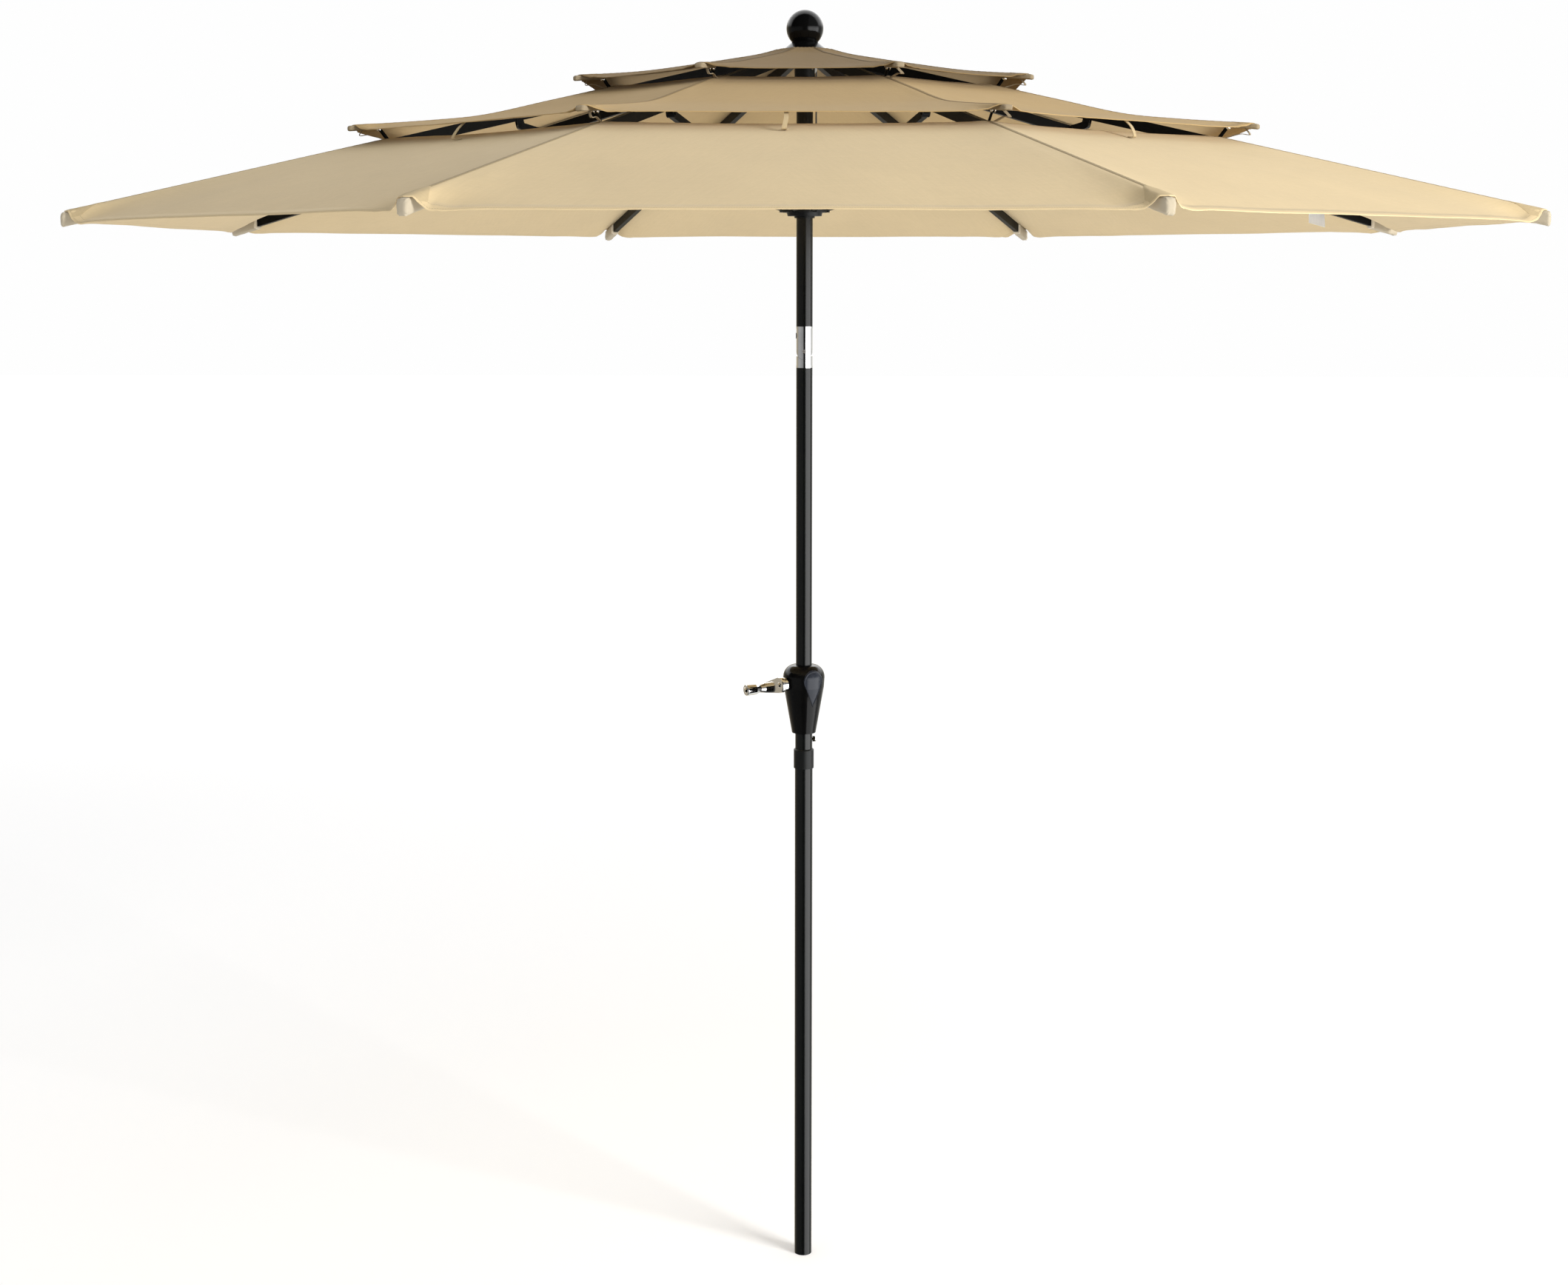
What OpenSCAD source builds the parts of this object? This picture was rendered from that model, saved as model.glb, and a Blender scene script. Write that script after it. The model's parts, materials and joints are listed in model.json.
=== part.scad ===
// Eight-rib crank patio umbrella with a three-tier canopy and a push-button tilt joint.
// Millimetres, +Z up, origin at the centre of the pole's cut foot. Ribs stand at 22.5 degrees and every
// 45 degrees after that, so the flat sides of the octagon face the four row directions.

/* [Pole] */
// Outside diameter of the lower pole
lower_od = 38; // [36:0.5:40]
// Outside diameter of the middle and upper poles
upper_od = 34; // [33:0.5:34.5]
// Tube wall of the poles
pole_wall = 1.5; // [1.2:0.1:1.8]
// Height of the top face of the collar where the two poles join
collar_top = 1154; // [1120:1:1170]
// Height at which the tilt joint's chrome section begins
tilt_bottom = 1970; // [1940:1:1990]
// Length of the tilt joint's chrome section
tilt_h = 77; // [74:1:82]
// Largest angle of the tilt joint
tilt_angle = 35; // [10:1:35]

/* [Canopy] */
// Distance from the pole's axis to a rib tip
tip_r = 1450; // [1300:10:1500]
// Height of the rib pivots in the top hub
hub_z = 2595; // [2560:1:2640]
// Height of a rib's axis at its tip
tip_z = 2260; // [2200:1:2300]
// Corner radius of the top tier
top_corner_r = 478; // [440:1:520]
// Corner radius of the middle tier
mid_corner_r = 922; // [880:1:960]
// How far the upper tiers' corners stand above the ribs
vent_lift = 40; // [30:1:50]
// Thickness of the canopy sheet
sheet_t = 1; // [0.8:0.1:1.5]

/* [Ribs and struts] */
// Distance from the pole's axis to the rib and strut pivots
pivot_r = 45; // [44:0.5:47]
// Length of a strut between its pivots
strut_len = 570; // [550:1:580]
// Width of a rib
rib_w = 12; // [11:0.5:13]
// Height of a rib
rib_h = 20; // [18:0.5:20]
// Width of a strut
strut_w = 10; // [9:0.5:10]
// Height of a strut
strut_h = 14; // [12:0.5:14]

/* [Crank] */
// Height of the crank's axis
crank_z = 1298; // [1294:1:1300]
// Height of the housing's bottom edge
housing_bottom = 1190; // [1180:1:1194]
// Height of the housing's top edge
housing_top = 1337; // [1334:1:1345]
// Greatest radius of the housing, at its shoulder
housing_r = 44.5; // [43:0.5:46]
// Radius of the housing at its bottom edge
housing_foot_r = 25.5; // [24:0.5:28]
// Length of the crank arm between its axes
crank_len = 88; // [80:1:95]

/* [Hidden] */

$fn = 48;
eps = 0.01;
slack = 0.05;            // radial room of a turning pin
seat = 0.02;             // radial room of a fixed pin
rib_count = 8;
half_step = 180 / rib_count;

black = [0.06, 0.06, 0.06];
chrome = [0.75, 0.76, 0.78];
fabric = [0.68, 0.56, 0.42];

// Poles
lower_r = lower_od / 2;
upper_r = upper_od / 2;
lower_in = lower_r - pole_wall;
upper_in = upper_r - pole_wall;
lower_h = collar_top - 24;
neck_down_r = lower_r - 0.7;   // turned-down top end of the lower pole
plug_h = 14;
sleeve_r = 18.3;
collar_r = 21.5;
collar_h = 42;
mid_bottom = collar_top - 94;

// Tilt joint: discs about the pivot, with a core on the lower half between two cheeks on the upper half
tilt_top = tilt_bottom + tilt_h;
tilt_z = tilt_bottom + 30;
disc_r = upper_r - 0.3;
disc_gap_r = upper_r;
core_half = 7.2;
cheek_in = 7.5;
shoulder_drop = 10.5;
spigot_r = upper_in - 0.05;
spigot_h = 30;
tilt_pin_r = 4;
cord_r = 1.5;
cord_x = 8.5;
cord_hole_r = 2.4;
rim_r = upper_r + 0.4;
rim_h = 4;
button_r = 6;
button_z = tilt_z + 32;
button_out = 0.8;
button_len = 7;
button_bore_end = 4;

// Ribs and struts: rib and strut form an isosceles triangle on the pole, so the strut's inner end keeps
// to the same radius while it folds
rib_slope = atan((hub_z - tip_z) / (tip_r - pivot_r));
rib_len = (tip_r - pivot_r) / cos(rib_slope);
strut_drop = 20;
strut_at = sqrt(strut_len * strut_len - strut_drop * strut_drop);
strut_angle = rib_slope + asin(strut_drop / strut_len);
runner_z = hub_z - 2 * strut_len * sin(strut_angle);
rib_wall = 1;
tongue_w = 6;
tongue_r = 8;
rib_start = 16;
pin_r = 2;
ear_w = 2.5;
ear_gap = strut_w / 2 + 0.3;
ear_r = 7;
joint_pin_r = 2.5;

// Hub
hub_r = 54;
hub_sleeve_r = 21;
hub_top = hub_z + 11;
hub_flange_bottom = hub_z - 9;
hub_bottom = hub_z - 50;
slot_half = tongue_w / 2 + 0.4;
slot_in_r = 35.5;
pulley_x = 15.9;
pulley_z = hub_z - 26;
pulley_groove_r = 5.9;
pulley_r = 9.2;
pulley_half = 3.4;
pulley_pin_r = 2;
cord_out_x = pulley_x + pulley_groove_r + cord_r;

// Runner
runner_bore = 18.3;
runner_sleeve_r = 21;
runner_flange_r = 37;
runner_wheel_r = 52;
wheel_bottom = runner_z - 8.5;
wheel_top = runner_z + 8.5;
runner_bottom = runner_z - 20;
runner_top = runner_z + 36;
notch_half = strut_w / 2 + 0.7;
stub_half = 9;
groove_half = stub_half + 0.6;
groove_r = pin_r + 0.3;

// Crank and housing: the housing's own frame is turned so that its inlay faces local -Y and the crank
// shaft leaves along local -X
housing_turn = 32;
housing_wall = 2.5;
shaft_r = 5;
spool_half = 11.5;
drum_r = 11;
spool_flange_r = 16;
window_half = 13;
window_up = 21;
bush_r = 7;
boss_r = 15;
boss_x = 46;
boss_t = 8;
arm_t = 7;
arm_x = boss_x + boss_t;
arm_w = 34;
arm_tip_w = 17;
arm_drop = 14.5;
knob_r = 12.5;
knob_neck_r = 8.5;
knob_len = 33;
knob_pin_r = 3.5;
shell_gap = 0.4;

// Finial
finial_seat = hub_top + 3;
cone_r = 45;
cone_h = 14;
ball_r = 37.5;
neck_r = 26.5;
stud_r = 8;

// Thumb screw
screw_z = 1175;
screw_head_r = 6;
screw_shank_r = 3;

// Canopy profiles along a rib, as radius and height of the sheet's underside. The sheet lies on the ribs and
// each upper tier lifts off them towards its corners
function rib_axis_z(r) = hub_z - (r - pivot_r) * tan(rib_slope);
function rib_top_z(r) = rib_axis_z(r) + rib_h / 2 / cos(rib_slope);
bed = 1.2;
lower_in_r = 855;
lower_profile = [for (r = [lower_in_r, tip_r]) [r, rib_top_z(r) + bed]];
mid_in_r = 400;
mid_bend_r = 668;
mid_profile = [
    [mid_in_r, rib_top_z(mid_in_r) + bed + 3],
    [mid_bend_r, rib_top_z(mid_bend_r) + bed + 3],
    [768, rib_top_z(768) + bed + 15],
    [mid_corner_r, rib_top_z(mid_corner_r) + vent_lift]
];
crown_r = 51;
top_in_r = crown_r + 5.5;
top_profile = [
    [top_in_r, hub_top + 0.6],
    [100, rib_top_z(100) + 2],
    [147, rib_top_z(147) + 5],
    [349, rib_top_z(349) + 20],
    [top_corner_r, rib_top_z(top_corner_r) + vent_lift]
];
seam_gap = 0.25;
ridge_gap = 0.2;

// ---------- helpers ----------

module at_rib(i) {
    rotate([0, 0, half_step + (i - 1) * 2 * half_step]) children();
}

// Frame of a rib: origin at its hub pivot, +X along the rib, +Z its upper side
module rib_frame() {
    translate([pivot_r, 0, hub_z]) rotate([0, rib_slope, 0]) children();
}

// Frame of a strut: origin at its runner end, +X towards its rib
module strut_frame() {
    translate([pivot_r, 0, runner_z]) rotate([0, -strut_angle, 0]) children();
}

module tube(r, r_in, z0, z1) {
    difference() {
        translate([0, 0, z0]) cylinder(r = r, h = z1 - z0);
        translate([0, 0, z0 - 1]) cylinder(r = r_in, h = z1 - z0 + 2);
    }
}

// Cylinder along Y, centred on the origin
module y_pin(r, half) {
    rotate([90, 0, 0]) cylinder(r = r, h = 2 * half, center = true);
}

// Straight round rod between two points
module rod(a, b, r) {
    d = b - a;
    translate(a) rotate([0, acos(d[2] / norm(d)), atan2(d[1], d[0])]) cylinder(r = r, h = norm(d), $fn = 16);
}

module rod_chain(points, r) {
    for (k = [0 : len(points) - 2]) rod(points[k], points[k + 1], r);
    for (k = [1 : 1 : len(points) - 2]) translate(points[k]) sphere(r = r + 0.06, $fn = 16);
}

// Closed sheet of one tier on the +Y side of one rib: its rows follow the profile, and each row runs from the
// rib's ridge to the mid-panel line
module half_tier(profile, t) {
    n = len(profile);
    reach = cos(half_step);
    low = [for (p = profile) for (c = [0 : 1]) c == 0
        ? [p[0], ridge_gap, p[1]]
        : [p[0] * reach * reach, p[0] * reach * sin(half_step) - seam_gap, p[1]]];
    high = [for (p = low) p + [0, 0, t]];
    m = 2 * n;
    steps = [0 : n - 2];
    faces = concat(
        [for (k = steps) [2 * k, 2 * k + 2, 2 * k + 3, 2 * k + 1]],
        [for (k = steps) [m + 2 * k + 1, m + 2 * k + 3, m + 2 * k + 2, m + 2 * k]],
        [for (k = steps) [m + 2 * k, m + 2 * k + 2, 2 * k + 2, 2 * k]],
        [for (k = steps) [2 * k + 1, 2 * k + 3, m + 2 * k + 3, m + 2 * k + 1]],
        [[0, 1, m + 1, m], [m - 1, m - 2, 2 * m - 2, 2 * m - 1]]
    );
    polyhedron(points = concat(low, high), faces = faces);
}

module tier_sheet(profile, t) {
    for (side = [0, 1]) mirror([0, side, 0]) half_tier(profile, t);
}

// ---------- poles ----------

// The pole's top end is turned down where it enters the collar
module lower_pole() {
    color(black) {
        tube(lower_r, lower_in, 0, collar_top - collar_h);
        tube(neck_down_r, lower_in, collar_top - collar_h - eps, lower_h);
    }
}

module foot_plug() {
    color([0.1, 0.1, 0.1]) difference() {
        cylinder(r = lower_in - seat, h = plug_h);
        translate([0, 0, 3]) cylinder(r = lower_in - 3, h = plug_h);
    }
}

module joint_collar() {
    color(black) difference() {
        union() {
            tube(collar_r, upper_r + 0.1, collar_top - collar_h, collar_top - 2);
            translate([0, 0, collar_top - 2]) difference() {
                cylinder(r1 = collar_r, r2 = collar_r - 2, h = 2);
                translate([0, 0, -1]) cylinder(r = upper_r + 0.1, h = 4);
            }
        }
        translate([0, 0, collar_top - collar_h - 1])
            cylinder(r = neck_down_r + seat, h = lower_h - collar_top + collar_h + 1);
    }
}

module joint_sleeve() {
    color(black) difference() {
        tube(sleeve_r, upper_r + 0.05, collar_top + 0.1, housing_bottom + 24);
        translate([0, 0, screw_z]) rotate([0, 90, 0]) cylinder(r = screw_shank_r + 0.1, h = sleeve_r + 2);
    }
}

module mid_pole() {
    color(black) difference() {
        tube(upper_r, upper_in, mid_bottom, tilt_bottom - rim_h);
        translate([0, 0, screw_z]) rotate([0, 90, 0]) cylinder(r = screw_shank_r + 0.1, h = sleeve_r + 2);
        rotate([0, 0, housing_turn]) {
            translate([-window_half, -upper_r - 1, crank_z - window_up])
                cube([2 * window_half, 2 * upper_r + 2, 2 * window_up]);
            translate([0, 0, crank_z]) rotate([0, 90, 0])
                cylinder(r = bush_r + seat, h = 2 * upper_r + 4, center = true);
        }
    }
}

module upper_pole() {
    color(black) difference() {
        tube(upper_r, upper_in, tilt_top + rim_h, hub_top - 8);
        pulley_window();
        translate([pulley_x, 0, pulley_z]) y_pin(pulley_pin_r + seat, 16);
    }
}

// ---------- crank housing ----------

// Outline of the housing, inset by d: a taper that widens upwards, then a quarter ellipse over the shoulder
function housing_points(d) = let (shoulder_z = housing_top - 27)
    concat(
        [[housing_foot_r - d, housing_bottom], [housing_r - 1.5 - d, shoulder_z - 20]],
        [for (a = [0 : 6 : 84]) [
            sleeve_r + 2 + (housing_r - sleeve_r - 2) * cos(a) - d,
            shoulder_z + (housing_top - shoulder_z) * sin(a) - d * sin(a)
        ]],
        [[sleeve_r + 2 - d, housing_top - d]]
    );

module housing_solid(d) {
    rotate_extrude($fn = 64) polygon(concat([[0, housing_bottom]], housing_points(d), [[0, housing_top - d]]));
}

module teardrop_2d(w, h) {
    r = w / 2;
    k = h - w;
    a = asin(r / (r + k));
    union() {
        circle(r = r);
        polygon([[-r * cos(a), -r * sin(a)], [0, -(r + k)], [r * cos(a), -r * sin(a)]]);
    }
}

// Prism of the teardrop window, running out of the housing along local -Y
module teardrop_prism(w, h) {
    translate([0, -10, housing_top - 7 - w / 2]) rotate([90, 0, 0])
        linear_extrude(height = housing_r) teardrop_2d(w, h);
}

module housing_shell() {
    difference() {
        housing_solid(0);
        intersection() {
            housing_solid(housing_wall);
            translate([0, 0, housing_bottom + 3]) cylinder(r = 60, h = housing_top - housing_bottom - 12);
        }
        translate([0, 0, housing_bottom - 1]) cylinder(r = sleeve_r + seat, h = 26);
        cylinder(r = upper_r + 0.1, h = housing_top + 10);
        translate([-housing_r - 5, 0, crank_z]) rotate([0, 90, 0]) cylinder(r = shaft_r + 1.5, h = housing_r);
    }
}

module screw_posts(r, from, to) {
    for (x = [-1, 1]) for (z = [housing_top - 22, housing_bottom + 52])
        translate([x * (z > crank_z ? 27 : 25), from, z]) rotate([-90, 0, 0]) cylinder(r = r, h = to - from);
}

module crank_housing_front() {
    color(black) rotate([0, 0, housing_turn]) difference() {
        union() {
            intersection() {
                housing_shell();
                translate([-60, -60, 0]) cube([120, 60, housing_top + 10]);
            }
            intersection() {
                housing_solid(housing_wall / 2);
                screw_posts(5, -60, 0);
            }
        }
        screw_posts(1.5 + seat, -14, 1);
        difference() {
            teardrop_prism(46, 80);
            housing_solid(1.2);
        }
    }
}

module crank_housing_rear() {
    color(black) rotate([0, 0, housing_turn]) difference() {
        union() {
            intersection() {
                housing_shell();
                translate([-60, 0, 0]) cube([120, 60, housing_top + 10]);
            }
            intersection() {
                housing_solid(housing_wall / 2);
                screw_posts(5, 0, 60);
            }
        }
        screw_posts(1.5 + seat, -1, 60);
        screw_posts(3.2, 14, 60);
    }
}

module housing_screws() {
    color(chrome) rotate([0, 0, housing_turn]) {
        screw_posts(1.5, -12, 14);
        screw_posts(3, 14, 16.5);
    }
}

module housing_inlay() {
    color([0.03, 0.03, 0.03]) rotate([0, 0, housing_turn]) intersection() {
        teardrop_prism(45.4, 79);
        difference() {
            housing_solid(0.3);
            housing_solid(1.2);
        }
    }
}

// ---------- crank ----------

// Frame of the crank: origin on the pole's axis, +Z out along the shaft
module crank_frame() {
    rotate([0, 0, housing_turn]) translate([0, 0, crank_z]) rotate([0, -90, 0]) children();
}

// Frame of the arm: +X along the arm, +Z out along the shaft. In the crank frame local +X points up and
// local +Y points along housing +Y
module arm_frame() {
    crank_frame() rotate([0, 0, 90 + arm_drop]) children();
}

module spool_bushes() {
    color([0.75, 0.7, 0.6]) crank_frame() for (s = [0, 1]) mirror([0, 0, s]) difference() {
        union() {
            translate([0, 0, window_half + 0.3]) cylinder(r = bush_r, h = 5.4);
            translate([0, 0, upper_r + 0.3]) cylinder(r = 9, h = 1.4);
        }
        cylinder(r = shaft_r + slack, h = 30);
    }
}

module brake_spring() {
    color(chrome) crank_frame() translate([0, 0, 20]) rotate_extrude() for (k = [0 : 6])
        translate([shaft_r + 1.8, 1.1 + 1.9 * k]) circle(r = 1.1, $fn = 16);
}

module crank_shaft() {
    color(chrome) crank_frame() {
        translate([0, 0, -20]) cylinder(r = shaft_r, h = 20 + arm_x - eps);
        translate([0, 0, boss_x]) cylinder(r = boss_r, h = boss_t - 2);
        translate([0, 0, boss_x + boss_t - 2]) cylinder(r1 = boss_r, r2 = boss_r - 2, h = 2 - eps);
    }
}

module cord_spool() {
    color([0.85, 0.85, 0.82]) crank_frame() difference() {
        union() {
            translate([0, 0, -spool_half]) cylinder(r = drum_r, h = 2 * spool_half);
            for (s = [-1, 1]) translate([0, 0, s * (spool_half - 1) - 1]) cylinder(r = spool_flange_r, h = 2);
        }
        translate([0, 0, -spool_half - 1]) cylinder(r = shaft_r + seat, h = 2 * spool_half + 2);
    }
}

module crank_arm() {
    color(chrome) arm_frame() translate([0, 0, arm_x]) difference() {
        union() {
            cylinder(r = arm_w / 2, h = arm_t - 1.5);
            translate([0, 0, arm_t - 1.5]) cylinder(r1 = arm_w / 2, r2 = arm_w / 2 - 1.5, h = 1.5);
            translate([crank_len, 0, 0]) cylinder(r = arm_tip_w / 2, h = arm_t);
            linear_extrude(height = arm_t - 1.5) polygon([
                [0, -arm_w / 2], [crank_len, -arm_tip_w / 2], [crank_len, arm_tip_w / 2], [0, arm_w / 2]
            ]);
            linear_extrude(height = arm_t) polygon([
                [0, 1.5 - arm_w / 2], [crank_len, 1.5 - arm_tip_w / 2],
                [crank_len, arm_tip_w / 2 - 1.5], [0, arm_w / 2 - 1.5]
            ]);
        }
        translate([0, 0, -1]) cylinder(r = 3 + seat, h = arm_t + 2);
        translate([crank_len, 0, -1]) cylinder(r = knob_pin_r + seat, h = arm_t + 2);
    }
}

module arm_screw() {
    color(chrome) arm_frame() translate([0, 0, arm_x]) {
        cylinder(r = 3, h = arm_t + 0.1);
        translate([0, 0, arm_t + 0.1]) cylinder(r1 = 5.5, r2 = 4, h = 3);
    }
}

module knob_pin() {
    color(chrome) arm_frame() translate([crank_len, 0, arm_x]) {
        cylinder(r = knob_pin_r, h = arm_t + knob_len + 1.5);
        translate([0, 0, arm_t + knob_len + 1.5]) cylinder(r1 = 6, r2 = 4.5, h = 2.5);
    }
}

module crank_knob() {
    color(chrome) arm_frame() translate([crank_len, 0, arm_x + arm_t + 0.6]) rotate_extrude($fn = 64) polygon(concat(
        [[knob_pin_r + slack, 0], [knob_neck_r - 0.5, 0], [knob_neck_r, 0.5], [knob_r - 0.7, 10]],
        [for (a = [0 : 15 : 90]) [knob_r - 2 + 2 * cos(a), knob_len - 2 + 2 * sin(a)]],
        [[knob_pin_r + slack, knob_len]]
    ));
}

module thumb_screw() {
    color(chrome) translate([0, 0, screw_z]) rotate([0, 90, 0]) difference() {
        union() {
            translate([0, 0, 12]) cylinder(r = screw_shank_r, h = sleeve_r - 11.5);
            translate([0, 0, sleeve_r + 0.5]) cylinder(r = screw_head_r, h = 6);
            translate([0, 0, sleeve_r + 6.5]) cylinder(r1 = screw_head_r, r2 = screw_head_r - 2, h = 2);
        }
        for (a = [0 : 30 : 330]) rotate([0, 0, a]) translate([screw_head_r + 0.5, 0, sleeve_r + 0.2])
            cylinder(r = 0.9, h = 10, $fn = 16);
    }
}

// ---------- tilt joint ----------

module tilt_disc(r, y_from, y_to) {
    translate([0, y_to, tilt_z]) rotate([90, 0, 0]) cylinder(r = r, h = y_to - y_from, $fn = 64);
}

module cord_hole(z0, z1) {
    translate([cord_x, 0, z0]) cylinder(r = cord_hole_r, h = z1 - z0);
}

module tilt_lower_bracket() {
    color(chrome) difference() {
        union() {
            difference() {
                translate([0, 0, tilt_bottom]) cylinder(r = upper_r, h = tilt_z - shoulder_drop - tilt_bottom);
                tilt_disc(disc_gap_r, cheek_in, 30);
                tilt_disc(disc_gap_r, -30, -cheek_in);
            }
            intersection() {
                tilt_disc(disc_r, -core_half, core_half);
                translate([0, 0, tilt_bottom]) cylinder(r = upper_r, h = tilt_h);
            }
            translate([0, 0, tilt_bottom - spigot_h]) cylinder(r = spigot_r, h = spigot_h + 1);
            translate([0, 0, tilt_bottom - rim_h + 0.05]) cylinder(r = rim_r, h = rim_h);
        }
        cord_hole(tilt_bottom - spigot_h - 1, tilt_top);
        translate([0, 0, tilt_z]) y_pin(tilt_pin_r + seat, 30);
    }
}

module tilt_pin() {
    color([0.3, 0.3, 0.3]) translate([0, 0, tilt_z]) y_pin(tilt_pin_r, upper_r - 1);
}

module tilt_upper_bracket() {
    color(chrome) difference() {
        union() {
            difference() {
                translate([0, 0, tilt_z + 0.5]) cylinder(r = upper_r, h = tilt_top - tilt_z - 0.5);
                tilt_disc(disc_gap_r, -cheek_in, cheek_in);
            }
            for (s = [0, 1]) mirror([0, s, 0]) intersection() {
                tilt_disc(disc_r, cheek_in, 30);
                translate([0, 0, tilt_bottom]) cylinder(r = upper_r, h = tilt_h);
            }
            translate([0, 0, tilt_top - 1]) cylinder(r = spigot_r, h = spigot_h + 1);
            translate([0, 0, tilt_top - 0.05]) cylinder(r = rim_r, h = rim_h);
        }
        cord_hole(tilt_z, tilt_top + spigot_h + 5);
        translate([0, 0, tilt_z]) y_pin(tilt_pin_r + slack, 30);
        translate([-upper_r - 5, 0, button_z]) rotate([0, 90, 0])
            cylinder(r = button_r + 0.1, h = upper_r + 5 - button_bore_end + 3.5);
    }
}

// The button's face follows the round of the pole
module tilt_button() {
    color([0.1, 0.1, 0.1]) intersection() {
        translate([-upper_r - 1, 0, button_z]) rotate([0, 90, 0])
            cylinder(r = button_r, h = button_len + 1 - button_out);
        translate([0, 0, button_z - button_r - 1]) cylinder(r = upper_r + button_out, h = 2 * button_r + 2);
    }
}

module button_spring() {
    first = upper_r + button_out - button_len - 0.2;
    color(chrome) translate([-first, 0, button_z]) rotate([0, 90, 0]) rotate_extrude() for (k = [0 : 4])
        translate([3.6, 0.8 + 1.5 * k]) circle(r = 0.8, $fn = 16);
}

// ---------- top hub ----------

module pulley_window() {
    translate([pulley_x - pulley_r - 1.5, -pulley_half - 0.8, pulley_z - pulley_r - 2])
        cube([30, 2 * pulley_half + 1.6, 2 * pulley_r + 4]);
}

module top_hub() {
    color(black) difference() {
        union() {
            translate([0, 0, hub_bottom]) cylinder(r = hub_sleeve_r, h = hub_top - hub_bottom);
            translate([0, 0, hub_flange_bottom]) cylinder(r = hub_r, h = hub_top - hub_flange_bottom, $fn = 64);
        }
        translate([0, 0, hub_bottom - 1]) cylinder(r = upper_r + seat, h = hub_top - 8 - hub_bottom + 1);
        cylinder(r = stud_r + 0.1, h = hub_top + 10);
        for (i = [1 : rib_count]) at_rib(i) {
            translate([slot_in_r, -slot_half, hub_flange_bottom - 1]) cube([30, 2 * slot_half, 30]);
            translate([pivot_r, 0, hub_z]) y_pin(pin_r + seat, 10.5);
        }
        pulley_window();
        translate([pulley_x, 0, pulley_z]) y_pin(pulley_pin_r + seat, 16);
    }
}

module hub_pins() {
    color(chrome) for (i = [1 : rib_count]) at_rib(i) translate([pivot_r, 0, hub_z]) y_pin(pin_r, 10);
}

module pulley_pin() {
    color(chrome) translate([pulley_x, 0, pulley_z]) y_pin(pulley_pin_r, 13);
}

module top_pulley() {
    color([0.85, 0.85, 0.82]) translate([pulley_x, 0, pulley_z]) rotate([90, 0, 0]) rotate_extrude() polygon([
        [pulley_pin_r + slack, -pulley_half], [pulley_r, -pulley_half], [pulley_r, -2.6],
        [pulley_groove_r, -1.2], [pulley_groove_r, 1.2], [pulley_r, 2.6], [pulley_r, pulley_half],
        [pulley_pin_r + slack, pulley_half]
    ]);
}

module finial_base() {
    color(black) {
        translate([0, 0, finial_seat]) cylinder(r1 = cone_r, r2 = neck_r, h = cone_h, $fn = 64);
        translate([0, 0, hub_top - 16]) cylinder(r = stud_r, h = finial_seat - hub_top + 17);
    }
}

module finial_ball() {
    color(black) intersection() {
        translate([0, 0, finial_seat + cone_h + sqrt(ball_r * ball_r - neck_r * neck_r)]) sphere(r = ball_r, $fn = 64);
        translate([0, 0, finial_seat + cone_h]) cylinder(r = ball_r + 1, h = 2 * ball_r);
    }
}

// ---------- lift cord ----------

module lift_cord_lower() {
    cord_y = drum_r + cord_r + 0.1;
    at_spool = [-cord_y * sin(housing_turn), cord_y * cos(housing_turn), crank_z];
    color([0.2, 0.2, 0.2]) rod_chain(
        [at_spool, at_spool + [0, 0, 32], [cord_x, 0, tilt_bottom - 60], [cord_x, 0, tilt_z + 13.5]], cord_r);
}

module lift_cord_upper() {
    color([0.2, 0.2, 0.2]) rod_chain([[cord_x, 0, tilt_z + 18], [cord_x, 0, pulley_z]], cord_r);
}

module lift_cord_run() {
    color([0.2, 0.2, 0.2]) rod_chain([[cord_out_x, 0, runner_top + 0.2], [cord_out_x, 0, pulley_z]], cord_r);
}

// ---------- runner ----------

module runner() {
    color(black) difference() {
        union() {
            translate([0, 0, runner_bottom]) cylinder(r = runner_sleeve_r, h = runner_top - runner_bottom - 4);
            translate([0, 0, runner_bottom + 4])
                cylinder(r1 = runner_flange_r - 2, r2 = runner_flange_r, h = wheel_bottom - runner_bottom - 4);
            translate([0, 0, wheel_bottom]) cylinder(r = runner_wheel_r, h = wheel_top - wheel_bottom, $fn = 64);
        }
        translate([0, 0, runner_bottom - 1]) cylinder(r = runner_bore, h = runner_top - runner_bottom + 2);
        for (i = [1 : rib_count]) at_rib(i) {
            translate([slot_in_r + 2, -notch_half, wheel_bottom - 1]) cube([30, 2 * notch_half, 30]);
            translate([pivot_r - groove_r, -groove_half, wheel_bottom - 1])
                cube([2 * groove_r, 2 * groove_half, runner_z - wheel_bottom + 1]);
            translate([pivot_r, 0, runner_z]) y_pin(groove_r, groove_half);
        }
    }
}

// Top ring of the runner, with the eye that the lift cord is tied to
module runner_ring() {
    color(black) difference() {
        union() {
            translate([0, 0, runner_top - 4]) cylinder(r = runner_sleeve_r + 2, h = 4);
            translate([cord_out_x, 0, runner_top - 4]) cylinder(r = 4.5, h = 4);
        }
        translate([0, 0, runner_top - 5]) cylinder(r = runner_bore, h = 6);
    }
}

// ---------- ribs, struts and canopy ----------

// Point on the vent rod under a profile point
function under(p) = [p[0], 0, p[1] - 3.2];

module vent_rod(points) {
    rod_chain(points, 2.5);
    translate(points[len(points) - 1]) sphere(r = 3, $fn = 16);
}

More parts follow.
